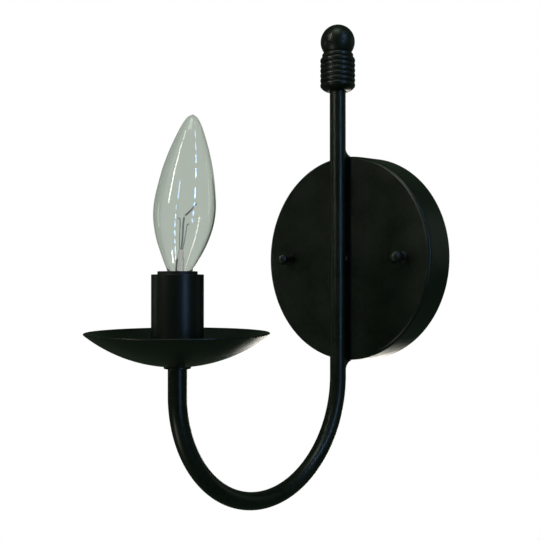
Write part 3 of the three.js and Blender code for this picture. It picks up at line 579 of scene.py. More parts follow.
def block(across, along, height, centre=(0, 0, 0)):
    """A plain block standing on a point, used to cut slots."""
    x, y = across / 2, along / 2
    return moved(prism([(-x, -y), (x, -y), (x, y), (-x, y)], height), Matrix.Translation(centre))


def drilled(bm, holes, radius, depth):
    """A plate with round holes right through it, at some places along its length."""
    cutters = [moved(cylinder(radius, -1, depth + 1), Matrix.Translation((x, 0, 0))) for x in holes]
    return combined(bm, "DIFFERENCE", *cutters)


def hex_nut(flats, bore, low, high):
    """A hexagon with its corners turned off where it meets its faces, and a bore."""
    corner = flats / 2 / math.cos(math.pi / 6)
    hexagon = arc(0, 0, corner, 0, 300, 5)
    blank = moved(prism(hexagon, high - low), Matrix.Translation((0, 0, low)))
    slope = (corner - flats / 2) * 0.6
    cone = turned([
        (0, low), (flats / 2 - 0.1, low), (corner + 0.1, low + slope),
        (corner + 0.1, high - slope), (flats / 2 - 0.1, high), (0, high),
    ], 72)
    bm = combined(blank, "INTERSECT", cone)
    hole = turned([
        (0, low - 1), (bore + 1.4, low - 1), (bore, low + 0.4),
        (bore, high - 0.4), (bore + 1.4, high + 1), (0, high + 1),
    ], 48)
    return combined(bm, "DIFFERENCE", hole)


def ball_nut():
    """A ball on a short flanged neck with a blind bore, all round one axis."""
    centre = nut_front - NUT_BALL
    join = math.degrees(math.acos(NUT_NECK / NUT_BALL))
    bore = STUD_RADIUS + 0.2
    deep = stud_out + 0.4
    bored = [(0, deep), (bore, deep), (bore, nut_back + 0.3), (bore + 0.3, nut_back)]
    flange = [(3.1, nut_back), (3.3, nut_back + 0.2), (3.3, nut_back + 0.65), (3.15, nut_back + 0.9)]
    neck = arc(3.05, nut_back + 1.2, 0.3, 250, 180, 4)
    ball = arc(0, centre, NUT_BALL, -join, 88, 22)
    return turned([*bored, *flange, *neck, *ball, (0, nut_front)], 64)


for side, x in (("left", -STUD_X), ("right", STUD_X)):
    at_stud = OUT_FROM_WALL @ Matrix.Translation((x, 0, 0))
    stud = threaded_bar(STUD_RADIUS, stud_back, stud_out, STUD_PITCH)
    lock = hex_nut(LOCK_NUT_FLATS, STUD_RADIUS + 0.2, lock_back, lock_front)
    washer = plain_ring(STUD_RADIUS + 0.3, WASHER_RADIUS, washer_back, washer_front, 64)
    soften(washer, 0.15)
    piece(stud, f"{side}_threaded_stud", "zinc_steel", "fixture", f"{side}_stud", place=at_stud)
    piece(lock, f"{side}_lock_nut", "zinc_steel", "fixture", f"{side}_stud_lock_nut", place=at_stud)
    name, body, node = f"{side}_thin_washer", f"{side}_washer", f"{side}_nut_washer"
    piece(washer, name, "black_coat", body, node, place=at_stud)
    name, body, node = f"{side}_turned_ball_nut", f"{side}_nut", f"{side}_ball_nut"
    piece(ball_nut(), name, "black_coat", body, node, place=at_stud)

# %% [markdown]
# ## The crossbar and what is screwed to it
# Behind the canopy a stamped steel strap is fixed to the outlet box. It has a large eye for the
# leads, a slot each side for the box screws and a green screw for the ground lead. The strap is a
# rounded outline with thickness and bevelled edges, and its holes are cut last so they stay crisp.

# %% Crossbar, ground screw and bushing
BAR_HALF_HEIGHT = 8
bar_end = span("mounting_crossbar")[1].x
bar_thick = depths("mounting_crossbar")[1]
BAR_EYE = 6.5
SLOT = (22.5, 34.5, 2.5)
GROUND_X = 14


def crossbar():
    end = bar_end - BAR_HALF_HEIGHT
    right = arc(end, 0, BAR_HALF_HEIGHT, -90, 90, 24)
    left = arc(-end, 0, BAR_HALF_HEIGHT, 90, 270, 24)
    bm = soften(prism(right + left, bar_thick), 0.3, segments=3)
    near, far, slot_radius = SLOT
    cutters = [cylinder(BAR_EYE, -1, bar_thick + 1, 64)]
    for side in (-1, 1):
        ends = sorted((side * near, side * far))
        outline = arc(ends[1], 0, slot_radius, -90, 90, 14) + arc(ends[0], 0, slot_radius, 90, 270, 14)
        cutters.append(moved(prism(outline, bar_thick + 2), Matrix.Translation((0, 0, -1))))
    bm = combined(bm, "DIFFERENCE", *cutters)
    return drilled(bm, (-STUD_X, GROUND_X, STUD_X), STUD_HOLE, bar_thick)


def ground_screw():
    low, high = depths("ground_screw")
    head = hex_nut(7.27, 0.01, high - 2, high)
    shank = threaded_bar(STUD_RADIUS, low, high - 1, STUD_PITCH)
    slot = block(1.0, 6.4, 2, (0, 0, high - 0.9))
    return combined(combined(head, "UNION", shank), "DIFFERENCE", slot)


def bushing():
    low, high = depths("wire_bushing")
    barrel = turned([
        (3.0, high), (3.9, high), (3.9, low + 1.2), (6.0, low + 1.2), (6.0, low), (3.0, low),
    ], 64, closed=True)
    return soften(barrel, 0.3, segments=3)


piece(crossbar(), "stamped_crossbar", "zinc_steel", "fixture", "mounting_crossbar", place=OUT_FROM_WALL)
at_ground = OUT_FROM_WALL @ Matrix.Translation((GROUND_X, 0, 0))
piece(ground_screw(), "green_ground_screw", "green_screw", "fixture", "ground_screw", place=at_ground)
piece(bushing(), "moulded_bushing", "black_plastic", "fixture", "wire_bushing", place=OUT_FROM_WALL)

# %% [markdown]
# ## The bent arm and its welds
# One steel tube makes the rod, the hook and the candle's leg. It is a circle drawn down, spun through
# a half turn and drawn up again, and then given a wall. A hole in its back lets the leads into the
# canopy. A short bead of weld joins the rod to the canopy's rim above and below.

# %% Arm tube
TUBE_RADIUS = 4.9
TUBE_WALL = 1.0
WIRE_HOLE = 3.2
rod_top = span("arm_tube")[1].z
leg_top = -48.6
BEND_RADIUS = (ROD_Y - CANDLE_Y) / 2
BEND_Y = (ROD_Y + CANDLE_Y) / 2
BEND_Z = span("arm_tube")[0].z + TUBE_RADIUS + BEND_RADIUS


def arm_tube():
    bm = bmesh.new()
    start = Matrix.Translation((0, ROD_Y, rod_top))
    ring = bmesh.ops.create_circle(bm, segments=56, radius=TUBE_RADIUS, matrix=start)["verts"]
    loop = list({edge for vert in ring for edge in vert.link_edges})

    def drawn(edges, distance):
        grown = bmesh.ops.extrude_edge_only(bm, edges=edges)["geom"]
        verts = only(BMVert, grown)
        bmesh.ops.translate(bm, verts=verts, vec=(0, 0, distance))
        return verts, only(BMEdge, grown)

    verts, edges = drawn(loop, -0.5)
    verts, edges = drawn(edges, BEND_Z - rod_top + 0.5)
    spun = bmesh.ops.spin(
        bm, geom=verts + edges, cent=(0, BEND_Y, BEND_Z), axis=(1, 0, 0), dvec=(0, 0, 0),
        angle=-math.pi, steps=96, use_merge=False, use_duplicate=False,
    )["geom_last"]
    drawn(only(BMEdge, spun), leg_top - BEND_Z)
    merged(bm)
    outward(bm)
    bmesh.ops.solidify(bm, geom=bm.faces[:], thickness=TUBE_WALL)
    hole = moved(cylinder(WIRE_HOLE, -ROD_Y - TUBE_RADIUS - 1, -ROD_Y), OUT_FROM_WALL)
    return combined(bm, "DIFFERENCE", hole)


piece(arm_tube(), "bent_arm", "black_coat", "fixture", "arm_tube")


# %% Weld beads
def weld(side, node):
    """A concave fillet of weld, rippled across its run, from the rod's back to the canopy's rim."""
    low, high = span(node)
    rim, top = CANOPY_RADIUS - 2.3, max(abs(low.z), abs(high.z))
    toe = -high.y
    inside = -ROD_Y
    profile = [(inside, rim - 2), (toe, rim - 2), (toe, CANOPY_RADIUS - 1.2), (toe, CANOPY_RADIUS + 0.2)]
    start = Vector((toe, CANOPY_RADIUS + 0.2))
    end = Vector((FACE + 0.4, top - 0.2))
    pull = Vector((FACE - 0.6, CANOPY_RADIUS + 0.9))
    for step in range(1, 13):
        t = step / 12
        point = start * (1 - t) ** 2 + pull * (2 * t * (1 - t)) + end * t**2
        ripple = 0.10 * math.sin(t * 9 * math.pi)
        profile.append((point.x + ripple * 0.5, point.y + ripple))
    profile.append((inside, top))
    bm = prism([(across, side * along) for across, along in profile], 5)
    rounded = soften(bm, 0.9, segments=4, sharper_than=50)
    upright = Matrix(((0, 0, 1, -2.5), (-1, 0, 0, 0), (0, 1, 0, 0), (0, 0, 0, 1)))
    return moved(rounded, upright)


for side, name in ((1, "upper"), (-1, "lower")):
    piece(weld(side, f"{name}_weld_bead"), f"{name}_weld", "black_coat", "fixture", f"{name}_weld_bead")

# %% [markdown]
# ## The finial
# A reeded neck and a ball finish the rod's top. The neck is turned with a stack of half-round rings
# and is hollow below for the rod. The ball is a sphere with a small flat cut off where it sits.

# %% Reeded neck and ball
neck_low, neck_high = span("finial_reeded_neck")
ball_low, ball_high = span("finial_ball")
NECK_BOTTOM = 104.9
NECK_RADIUS = 10.75
SHOULDER_RADIUS = 9.6
GROOVE = 0.9
RINGS = 7
ROOM = TUBE_RADIUS + 0.3
FINIAL_BORE = 2.2
BORE_TOP = 131.7
NECK_SOCKET = 13


def reeded_neck():
    pitch = (neck_high.z - NECK_BOTTOM) / RINGS
    rings = []
    for ring in range(RINGS):
        centre = NECK_BOTTOM + (ring + 0.5) * pitch
        crest = SHOULDER_RADIUS if ring == RINGS - 1 else NECK_RADIUS
        for step in range(13):
            angle = math.radians(-80 + 160 * step / 12)
            rings.append((crest - GROOVE * (1 - math.cos(angle)), centre + pitch / 2 * math.sin(angle)))
    bore_top = NECK_BOTTOM + NECK_SOCKET
    outline = [
        (ROOM + 0.2, neck_low.z), (ROOM + 1.2, neck_low.z), (ROOM + 1.9, neck_low.z + 0.12),
        (NECK_RADIUS - 2.4, NECK_BOTTOM - 1.45), (NECK_RADIUS - 1.4, NECK_BOTTOM - 0.8), *rings,
        (SHOULDER_RADIUS - GROOVE, neck_high.z - 0.02), (SHOULDER_RADIUS - GROOVE - 0.3, neck_high.z),
        (FINIAL_BORE, neck_high.z), (FINIAL_BORE, bore_top), (ROOM, bore_top), (ROOM, neck_low.z + 0.2),
    ]
    return turned(outline, 112, closed=True)


def finial_ball():
    radius = (ball_high.x - ball_low.x) / 2
    centre = ball_high.z - radius
    bm = bmesh.new()
    bmesh.ops.create_uvsphere(bm, u_segments=72, v_segments=48, radius=radius)
    bmesh.ops.translate(bm, verts=bm.verts, vec=(0, 0, centre))
    cut = bmesh.ops.bisect_plane(
        bm, geom=bm.verts[:] + bm.edges[:] + bm.faces[:], dist=1e-5,
        plane_co=(0, 0, ball_low.z), plane_no=(0, 0, -1), clear_outer=True,
    )["geom_cut"]
    bmesh.ops.holes_fill(bm, edges=only(BMEdge, cut), sides=0)
    return merged(bm)


piece(reeded_neck(), "reeded_neck", "black_coat", "fixture", "finial_reeded_neck", place=ON_ROD)
ball = combined(finial_ball(), "DIFFERENCE", cylinder(FINIAL_BORE, ball_low.z - 1, BORE_TOP))
piece(ball, "turned_ball", "black_coat", "fixture", "finial_ball", place=ON_ROD)

# %% [markdown]
# ## The drip pan and its fixing
# The pan is spun from thin sheet on a lathe: a shallow bowl with a small flat seat and an edge that is
# filed round. It rests on a collar, and a star washer and a thin hexagon nut clamp it from above.

# %% Drip pan
pan_low = span("drip_pan")[0]
PAN_RADIUS = 46.8
PAN_WALL = 0.9
BOWL_RADIUS = 74
SEAT_RADIUS = 9
TEETH = 12
PAN_NUT_FLATS = 14


def drip_pan():
    centre = pan_low.z + math.sqrt(BOWL_RADIUS**2 - SEAT_RADIUS**2)
    middle = BOWL_RADIUS - PAN_WALL / 2
    inner = BOWL_RADIUS - PAN_WALL
    edge = math.degrees(math.acos((PAN_RADIUS - PAN_WALL / 2) / middle))
    seat_angle = math.degrees(math.acos(SEAT_RADIUS / BOWL_RADIUS))
    (edge_across, edge_along), _ = arc(0, centre, middle, -edge, -edge, 1)
    outline = [
        (ROOM, pan_low.z), (SEAT_RADIUS - 0.8, pan_low.z),
        *arc(0, centre, BOWL_RADIUS, -seat_angle, -edge - 0.4, 30),
        *arc(edge_across, edge_along, PAN_WALL / 2, -edge, 180 - edge, 8),
        *arc(0, centre, inner, -edge - 0.4, -seat_angle, 30),
        (SEAT_RADIUS - 0.8, pan_low.z + PAN_WALL), (ROOM, pan_low.z + PAN_WALL),
    ]
    return turned(outline, 160, closed=True)


def check_ring():
    low, high = span("check_ring")
    return soften(plain_ring(ROOM, high.x, low.z, high.z, 96), 0.3, segments=3)


def star_washer():
    """A flat lock washer with teeth cut in its edge."""
    low, high = span("pan_lock_washer")
    radius = high.x
    blank = plain_ring(ROOM, radius, low.z, high.z, 96)
    cutters = []
    for tooth in range(TEETH):
        turn = Matrix.Rotation(math.tau * tooth / TEETH, 4, "Z")
        inner, outer = radius - 1.5, radius + 1
        notch = prism([(inner, -0.45), (outer, -0.75), (outer, 0.75), (inner, 0.45)], 2)
        cutters.append(moved(notch, turn @ Matrix.Translation((0, 0, low.z - 0.5))))
    return combined(blank, "DIFFERENCE", *cutters)


nut_low, nut_high = span("pan_hex_nut")
pan_nut = hex_nut(PAN_NUT_FLATS, ROOM, nut_low.z, nut_high.z)
for bm, name, slot, node in (
    (drip_pan(), "spun_drip_pan", "black_coat", "drip_pan"),
    (check_ring(), "collar", "black_coat", "check_ring"),
    (star_washer(), "star_washer", "zinc_steel", "pan_lock_washer"),
    (pan_nut, "thin_hex_nut", "zinc_steel", "pan_hex_nut"),
):
    piece(bm, name, slot, "fixture", node, place=ON_CANDLE)

# %% [markdown]
# ## The candle tube and its socket
# A thin black tube slips over the socket and stands in the pan. The socket's moulded cup sits a little
# proud of it, on a bent steel bracket. Inside the cup are a rolled brass screw shell and a springy
# contact strip, whose tabs pass down through the cup's floor to the leads.

# %% Candle tube and socket cup
tube_low, tube_high = span("candle_sleeve")
socket_low, socket_high = span("socket_body")
shell_low, shell_high = span("socket_screw_shell")
TUBE_SHEET = 0.95
SCREW_HOLE_TOP = -34.9
CUP_FLOOR = socket_low.z + 3.6
SHELL_TOP = shell_high.z
SHELL_RADIUS = 5.95
SHELL_OUTER = 6.65
TAB_X = SHELL_OUTER - 0.3
CONTACT_X = -SHELL_RADIUS + 0.5


def candle_tube():
    radius = tube_high.x
    bm = plain_ring(radius - TUBE_SHEET, radius, tube_low.z, tube_high.z, 128)
    return soften(bm, 0.28, segments=3)


def socket_cup():
    radius, top = socket_high.x, socket_high.z
    mouth = SHELL_OUTER + 1.75
    bm = turned([
        (0, socket_low.z), (radius, socket_low.z), (radius, top), (mouth, top), (mouth, top - 6.5),
        (SHELL_OUTER + 0.3, top - 6.5), (SHELL_OUTER + 0.3, CUP_FLOOR), (0, CUP_FLOOR),
    ], 96)
    soften(bm, 0.4, segments=3)
    cutters = [cylinder(1.4, socket_low.z - 1, SCREW_HOLE_TOP)]
    for x in (TAB_X, CONTACT_X):
        cutters.append(block(1.1, 3.6, 5.6, (x, 0, socket_low.z - 1)))
    return combined(bm, "DIFFERENCE", *cutters)


piece(candle_tube(), "candle_tube", "sleeve_black", "sleeve", "candle_sleeve", place=ON_CANDLE)
piece(socket_cup(), "socket_cup", "phenolic", "fixture", "socket_body", place=ON_CANDLE)

# %% Screw shell, contact strip and bracket
PITCH = 2.54
WAVE = 0.3
SHELL_LENGTH = 17


def strip(section, width):
    """A bent strip: a section of (x, z) with a width along Y."""
    bm = soften(prism(section, width), 0.12)
    upright = Matrix(((1, 0, 0, 0), (0, 0, -1, width / 2), (0, 1, 0, 0), (0, 0, 0, 1)))
    return moved(bm, upright)


def screw_shell():
    low, top = SHELL_TOP - SHELL_LENGTH, SHELL_TOP
    rows = [(SHELL_RADIUS, height) for height in levels(top, low, PITCH / 14)]
    bm = turned([(SHELL_OUTER, low), (SHELL_OUTER, top), *rows], 72, closed=True)
    thread(bm, SHELL_RADIUS, PITCH, WAVE, low, top)
    left, right, tab_top = TAB_X - 0.25, TAB_X + 0.25, low + 1.2
    tab = strip([(left, shell_low.z), (right, shell_low.z), (right, tab_top), (left, tab_top)], 3)
    return combined(bm, "UNION", tab)


def contact_strip():
    low, high = span("socket_centre_contact")
    foot = CUP_FLOOR + 0.1
    left, right = CONTACT_X - 0.25, CONTACT_X + 0.25
    section = [
        (left, low.z), (right, low.z), (right, foot), (right + 1.6, foot), (0, high.z - 0.5),
        (1.4, high.z - 0.5), (1.4, high.z), (-0.3, high.z), (right + 1.3, foot + 0.5), (left, foot + 0.5),
    ]
    return strip(section, 3)


def bracket():
    """A strap bent twice, with a round foot on the arm's end and a hole for the socket's screw."""
    low, high = span("socket_bracket")
    foot_top = low.z + 1.5
    leg_inside, leg_outside = ROOM + 2.4, ROOM + 3.5
    shelf = high.z - 1.1
    section = [
        (0, low.z), (leg_outside, low.z), *arc(leg_outside - 1.3, high.z - 1.3, 1.3, 0, 90, 6),
        (-3.5, high.z), (-3.5, shelf), (leg_inside - 0.5, shelf), (leg_inside, shelf - 0.5),
        (leg_inside, foot_top), (0, foot_top),
    ]
    strap = moved(strip(section, 7), Matrix.Rotation(math.radians(90), 4, "Z"))
    foot = soften(cylinder(ROOM + 2.8, low.z, foot_top, 72), 0.2)
    arm_hole = cylinder(ROOM, low.z - 1, foot_top + 1)
    screw_hole = cylinder(1.5, high.z - 2, high.z + 1)
    return combined(combined(strap, "UNION", foot), "DIFFERENCE", arm_hole, screw_hole)


def pan_head_screw():
    low, high = span("bracket_screw")
    head_top = low.z + 1.1
    dome = arc(1.3, low.z + 0.9, 0.9, -90, 0, 5)
    head = turned([(0, low.z), (1.3, low.z), *dome, (2.2, head_top), (0, head_top)], 48)
    shank = threaded_bar(1.2, head_top - 0.5, high.z, 0.5, chamfer=0.2, sides=24)
    slot = block(0.6, 6, 0.6, (0, 0, low.z - 0.1))
    return combined(combined(head, "UNION", shank), "DIFFERENCE", slot)


for bm, name, slot, node in (
    (screw_shell(), "rolled_screw_shell", "brass", "socket_screw_shell"),
    (contact_strip(), "contact_strip", "brass", "socket_centre_contact"),
    (bracket(), "bent_bracket", "zinc_steel", "socket_bracket"),
    (pan_head_screw(), "pan_head_screw", "zinc_steel", "bracket_screw"),
):
    piece(bm, name, slot, "fixture", node, place=ON_CANDLE)

# %% [markdown]
# ## The bulb
# The bulb is blown glass in the shape of a flame, fixed with cement in a rolled screw base. Its
# outline is a smooth line through a few widths and heights, spun and then given a thin wall, so light
# bends through two real surfaces. Inside stand a glass stem with its pinched press, two lead wires, two
# supports and a coiled filament.

# %% Bulb base and tip
base_low, base_high = span("bulb_base")
THREAD_RADIUS = 5.55
BASE_BORE = THREAD_RADIUS - 0.65


def bulb_base():
    top, low = base_high.z, base_low.z
    thread_top, thread_low = top - 1.4, low + 0.8
    rows = levels(thread_low, thread_top, PITCH / 14)
    outline = [
        (BASE_BORE, low), (BASE_BORE + 0.35, low), *[(THREAD_RADIUS, height) for height in rows],
        (THREAD_RADIUS + 0.12, top - 0.8), (THREAD_RADIUS + 0.2, top - 0.5),
        (THREAD_RADIUS + 0.12, top - 0.15), (THREAD_RADIUS - 0.05, top), (BASE_BORE, top),
    ]
    bm = turned(outline, 72, closed=True)
    return thread(bm, THREAD_RADIUS, PITCH, WAVE, thread_low, thread_top)


def base_insulator():
    low, high = span("bulb_base_insulator")
    outline = [
        (0, low.z + 0.2), (2.0, low.z + 0.1), (2.4, low.z), (2.75, low.z + 0.15),
        (BASE_BORE - 0.45, base_low.z - 0.2), (BASE_BORE - 0.3, base_low.z),
        (BASE_BORE - 0.3, high.z), (0, high.z),
    ]
    return turned(outline, 64)


def solder_tip():
    low, high = span("bulb_tip_contact")
    shoulder = arc(1.2, low.z + 0.55, 0.8, 0, -70, 6)
    return turned([(0, high.z), (2.0, high.z), *shoulder, (0.6, low.z + 0.03), (0, low.z)], 48)


piece(bulb_base(), "rolled_bulb_base", "lamp_base_metal", "bulb", "bulb_base", place=ON_CANDLE)
insulator, tip = base_insulator(), solder_tip()
piece(insulator, "base_insulator", "black_glass", "bulb_tip", "bulb_base_insulator", place=ON_CANDLE)
piece(tip, "solder_tip", "lamp_base_metal", "bulb_tip", "bulb_tip_contact", place=ON_CANDLE)

# %% Bulb glass
GLASS_WALL = 0.6
NECK_GLASS = BASE_BORE - 0.8
BULB_RADIUS = 15.7
SIDE_SHARES = [
    (0.57, 16.2), (0.82, 25.6), (0.965, 34.5), (1, 42.6), (0.95, 50.5), (0.83, 61), (0.675, 70),
    (0.51, 77.5), (0.34, 84), (0.185, 88.3), (0.07, 89.7), (0, 90.2),
]
GLASS_SIDE = [(NECK_GLASS, 1.6), (NECK_GLASS, 6.2), (5.6, 9.2)]
GLASS_SIDE += [(share * BULB_RADIUS, height) for share, height in SIDE_SHARES]


def bulb_glass():
    """The flame-shaped envelope, spun as a bare sheet and then given its wall."""
    outline = smooth_line(GLASS_SIDE, 6)
    bm = turned([(max(point.x, 0), point.y) for point in outline], 112)
    outward(bm)
    bmesh.ops.solidify(bm, geom=bm.faces[:], thickness=GLASS_WALL)
    return bm


def glass_stem():
    """A flared foot, an exhaust tube and the flat press that holds the wires."""
    foot = NECK_GLASS - GLASS_WALL - 0.3
    flare = [(point.x, point.y) for point in smooth_line([(foot, 3.4), (2.5, 5), (2.2, 7)], 5)]
    tube = turned([(0, 3), (foot, 3), *flare, (2.2, 15.8), (2.0, 16.8), (1.3, 17.9), (0, 17.9)], 56)
    hollow = turned([(0, 4), (1.1, 4.6), (1.5, 6), (1.5, 14.4), (1.0, 15.6), (0, 16)], 40)
    press = soften(block(2.53, 4.18, 4.9, (0, 0, 16.5)), 0.6, segments=5)
    return combined(combined(tube, "DIFFERENCE", hollow), "UNION", press)


piece(bulb_glass(), "flame_bulb_glass", "clear_glass", "bulb", "bulb_glass", place=ON_BULB, sharp=60)
stem = glass_stem()
piece(stem, "pinched_stem", "clear_glass", "bulb", "bulb_glass_stem", place=ON_BULB, finish="lead_glass")

# %% Wires and coiled filament
WIRE_FOOT = 21.7
WIRE_TOP = 38


def lead_wire(side):
    points = [
        (0, side * 1.1, WIRE_FOOT), (0.15, side * 1.3, 27), (-0.1, side * 1.6, 33),
        (0, side * 1.7, WIRE_TOP),
    ]
    return tube_along(smooth_line(points, 8), 0.3, 12)


def support_wire(side, top):
    points = [
        (side * 0.7, 0, WIRE_FOOT), (side * 1.3, 0, 27), (side * 1.7, 0, top - 2), (side * 2, 0, top),
        (side * 3.1, 0, top + 0.2),
    ]
    return tube_along(smooth_line(points, 8), 0.24, 12)


def filament():
    """A fine wire wound in a long coil that goes up to its apex and back."""
    path = smooth_line([
        (0.5, -1.7, WIRE_TOP + 0.9), (3, -1.2, 41.6), (5.6, 0, 45.2), (3, 1.2, 41.6),
        (0.5, 1.7, WIRE_TOP + 0.9),
    ], 240)
    coil = []
    for step, (here, ahead) in enumerate(zip(path, path[1:])):
        along = (ahead - here).normalized()
        side = along.cross((1, 0, -1)).normalized()
        up = along.cross(side)
        angle = step * math.tau / 10
        coil.append(here + 0.27 * (side * math.cos(angle) + up * math.sin(angle)))
    return tube_along(coil, 0.075, 4)


for bm, name, node in (
    (lead_wire(-1), "front_lead_wire", "bulb_front_lead_wire"),
    (lead_wire(1), "back_lead_wire", "bulb_back_lead_wire"),
    (support_wire(-1, 37), "left_support", "bulb_left_support_wire"),
    (support_wire(1, 34.5), "right_support", "bulb_right_support_wire"),
):
    piece(bm, name, "lamp_wire", "bulb", node, place=ON_BULB)
piece(filament(), "coiled_filament", "lamp_wire", "bulb", "bulb_filament", place=ON_BULB, sharp=80)

# %% [markdown]
# ## Leads and connectors
# Two insulated leads run from the socket's tabs down inside the arm, up the rod and out through the
# bushing into the canopy. There each ends in a ribbed twist-on connector. A bare copper lead hooks
# round the green screw. They are fixed wires, so they follow one set route of points.

# %% Leads
CONNECTOR_Y = (-FACE + CANOPY_WALL - bar_thick) / 2
CONNECTOR_X = 18
CONNECTOR_Z = -21
LEAD_OFFSET = 1.25
TAB_REACH = 2.8
LEAD_GAP = 0.3


def lead(side, tab_x):
    x = side * LEAD_OFFSET
    tab_bottom = socket_low.z - TAB_REACH - LEAD_GAP
    points = [
        (tab_x, CANDLE_Y, tab_bottom), (tab_x * 0.85, CANDLE_Y, tab_bottom - 2.6),
        (tab_x * 0.4, CANDLE_Y, tab_bottom - 5), (x, CANDLE_Y, leg_top - 0.5),
        (x, CANDLE_Y, (leg_top + BEND_Z) / 2),
    ]
    points += [(x, y, z) for y, z in arc(BEND_Y, BEND_Z, BEND_RADIUS, -180, 0, 12)]
    points += [
        (x, ROD_Y, BEND_Z * 0.66), (x, ROD_Y, BEND_Z * 0.33), (x, ROD_Y, -9), (x, ROD_Y + 0.3, -4.5),
        (x, ROD_Y + 1.8, -1.2), (x, ROD_Y + TUBE_RADIUS, 0), (x, -FACE + 3, 0),
        (side * 2.6, CONNECTOR_Y - 2.5, -1.6), (side * 6, CONNECTOR_Y, -7.5), (side * 10, CONNECTOR_Y, -15),
        (side * 14.5, CONNECTOR_Y, CONNECTOR_Z + 0.8),
        (side * (CONNECTOR_X + 2.5), CONNECTOR_Y, CONNECTOR_Z),
    ]
    return tube_along(smooth_line(points, 6), 1.0, 16)


def ground_lead():
    hook_y = -bar_thick - 0.8 - LEAD_GAP
    hook = [(x, hook_y, z) for x, z in arc(GROUND_X, 0, STUD_RADIUS + 1.1, 110, -100, 8)]
    points = hook + [
        (GROUND_X - 4.5, hook_y - 0.6, -5.2), (GROUND_X - 8, hook_y - 3.5, -13),
        (4.6, CONNECTOR_Y + 0.6, -22), (4, CONNECTOR_Y, -28), (4, CONNECTOR_Y, -33.5),
    ]
    return tube_along(smooth_line(points, 6), 0.8, 16)


piece(lead(-1, CONTACT_X), "black_lead", "black_lead", "fixture", "hot_lead")
piece(lead(1, TAB_X), "white_lead", "white_lead", "fixture", "neutral_lead")
piece(ground_lead(), "copper_lead", "bare_copper", "fixture", "ground_lead")


# %% Twist-on connectors
def connector():
    """A moulded cone with grip ribs and a flared skirt, its mouth upwards."""
    rows = [(3.0 + (height + 16.2) * 1.4 / 11.2, height) for height in levels(-16.2, -5, 0.45)]
    bm = turned([
        (0, -17), (2.4, -17), (2.75, -16.7), *rows, (4.75, -4.2), (5.2, -3.6), (5.2, -0.4), (5.0, 0),
        (4.3, 0), (1.7, -3), (1.7, -11), (0, -11),
    ], 96)
    for vert in bm.verts:
        flat = Vector((vert.co.x, vert.co.y))
        if -16.3 < vert.co.z < -4.9 and flat.length > 2.5:
            fade = min(1, (vert.co.z + 16.3) / 1.2, (-4.9 - vert.co.z) / 1.2)
            rib = 0.5 + 0.5 * math.cos(math.atan2(flat.y, flat.x) * 12)
            flat *= 1 - 0.09 * fade * rib
            vert.co.x, vert.co.y = flat
    return bm


for side, name in ((-1, "hot"), (1, "neutral")):
    lying = Matrix.Rotation(math.radians(-90 * side), 4, "Y")
    place = Matrix.Translation((side * CONNECTOR_X, CONNECTOR_Y, CONNECTOR_Z)) @ lying
    cap, node = f"{name}_twist_connector", f"{name}_wire_connector"
    piece(connector(), cap, "connector_orange", "fixture", node, place=place)
place = Matrix.Translation((4, CONNECTOR_Y, -31))
cap, node = "ground_twist_connector", "ground_wire_connector"
piece(connector(), cap, "connector_green", "fixture", node, place=place)

# %% [markdown]
# ## Solids that stay as packed
# The plug in the rod's top and the stud through the finial are closed in on all sides, so their
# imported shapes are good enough. They only need their plated finish.

# %% Hidden hardware
for name in ("rod_top_plug", "finial_stud"):
    node = frame["nodes"][name]
    node.data.materials.clear()
    node.data.materials.append(finishes["zinc_steel"].material)
shown = [name for name, node in frame["nodes"].items() if not node.hide_render]
print("packed solids still shown:", shown)

# %% [markdown]
# ## Floor, light and camera
# The sconce hangs at wall height over a plain pale floor. The light is a soft, dim room with one tall
# cool window to the right, broken into panes, and a weak warm lamp on the left, because black paint
# only shows its shape where it mirrors something bright. The backdrop the lens sees is plain white.
# A pale floor would throw light up on the black paint, so it is hidden from every ray but the lens's
# and has a lamp of its own that shines only down. Lamps named behind are not seen through the glass,
# where they would show as white patches.

# %% Floor
FLOOR_Z = -1.5


def floor():
    bm = bmesh.new()
    below = Matrix.Translation((0, 0, FLOOR_Z))
    bmesh.ops.create_circle(bm, cap_ends=True, segments=96, radius=4.0, matrix=below)
    disc = plain_object(bm, "floor")
    paint = Finish("floor_paint", {"Roughness": 0.8})
    paint.feed("Base Color", paint.mix(paint.noise(120, detail=3), (0.90, 0.90, 0.89), (0.86, 0.86, 0.85)))
    disc.data.materials.append(paint.material)
    disc.visible_glossy = disc.visible_diffuse = disc.visible_transmission = False


floor()


# %% World
def world():
    room = bpy.data.worlds.new("studio")
    bpy.context.scene.world = room
    room.use_nodes = True
    tree = room.node_tree
    tree.nodes.clear()

    def add(kind, **inputs):
        node = tree.nodes.new("ShaderNode" + kind)
        for name, value in inputs.items():
            node.inputs[name].default_value = value
        return node

    rays = add("LightPath")
    dim = add("Background", Color=(0.66, 1.0, 0.64, 1), Strength=0.060)
    seen_through = add("Background", Color=(0.91, 1.0, 0.89, 1), Strength=0.53)
    backdrop = add("Background", Color=(1, 1, 1, 1), Strength=1.0)
    first, second, out = add("MixShader"), add("MixShader"), add("OutputWorld")
    for mixer, ray, otherwise, seen in (
        (first, "Is Transmission Ray", dim, seen_through), (second, "Is Camera Ray", first, backdrop),
    ):
        for place, source in enumerate((rays.outputs[ray], otherwise.outputs[0], seen.outputs[0])):
            tree.links.new(source, mixer.inputs[place])
    tree.links.new(second.outputs[0], out.inputs[0])


world()


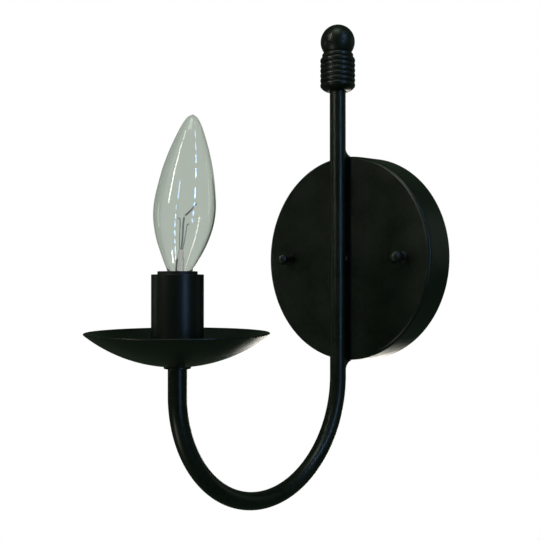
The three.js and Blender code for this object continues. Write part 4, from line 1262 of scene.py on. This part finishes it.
# %% Lamps
def softbox(name, place, target, width, height, power, tint, spread=70):
    """A rectangular lamp at one place that faces another."""
    lamp = bpy.data.lights.new(name, "AREA")
    lamp.shape = "RECTANGLE"
    lamp.size, lamp.size_y = width, height
    lamp.energy = power
    lamp.spread = math.radians(spread)
    lamp.color = tint
    thing = bpy.data.objects.new(name, lamp)
    bpy.context.scene.collection.objects.link(thing)
    thing.location = place
    aim = Vector(target) - Vector(place)
    thing.rotation_euler = aim.to_track_quat("-Z", "Y").to_euler()
    thing.visible_camera = False
    thing.visible_transmission = not name.startswith("behind")


CENTRE = (0, -0.1, 0.05)
WINDOW = (0.34, 0.56, 1.0)
CREAM = (1.0, 0.96, 0.86)
PALE_GREEN = (0.86, 1.0, 0.86)
for pane in range(8):
    spot = (1.6, -0.42 + 0.06 * pane, -0.4 + 0.3 * pane)
    softbox(f"window_pane_{pane}", spot, CENTRE, 0.13, 0.16, 0.10 if pane < 2 else 0.15, WINDOW)
softbox("warm_lamp", (-0.34, -1.58, 0.98), (0, -0.1, 0.3), 0.10, 1.3, 1.2, CREAM)
softbox("warm_lamp_below", (-0.29, -1.44, -1.05), CENTRE, 0.18, 0.18, 0.3, CREAM)
softbox("left_strip", (-1.5, -0.9, 0.1), CENTRE, 0.05, 0.5, 0.05, PALE_GREEN)
softbox("overhead", (0.3, -0.6, 1.5), CENTRE, 0.8, 0.8, 0.6, PALE_GREEN)
softbox("behind", (0.6, 1.2, 0.3), CENTRE, 0.8, 0.8, 0.05, PALE_GREEN)
softbox("behind_low", (-0.64, 1.05, -0.42), (0, -0.15, -0.05), 0.4, 0.4, 0.4, CREAM)
softbox("floor_light", (0, 0, -0.8), (0, 0, FLOOR_Z), 6.0, 6.0, 105.0, (1.0, 1.0, 1.0), spread=180)

# %% Camera
SENSOR = 36
LENS_TO_SENSOR = 848.94 / 540
camera = bpy.data.objects.new("camera", bpy.data.cameras.new("camera"))
bpy.context.scene.collection.objects.link(camera)
camera.data.sensor_width = SENSOR
camera.data.lens = SENSOR * LENS_TO_SENSOR
camera.data.clip_start = 0.01
camera.location = (0.33001, -0.43245, -0.0132)
camera.rotation_euler = [math.radians(angle) for angle in (90.64, 0, 43.59)]
bpy.context.scene.camera = camera
bpy.context.scene.view_settings.view_transform = "Standard"
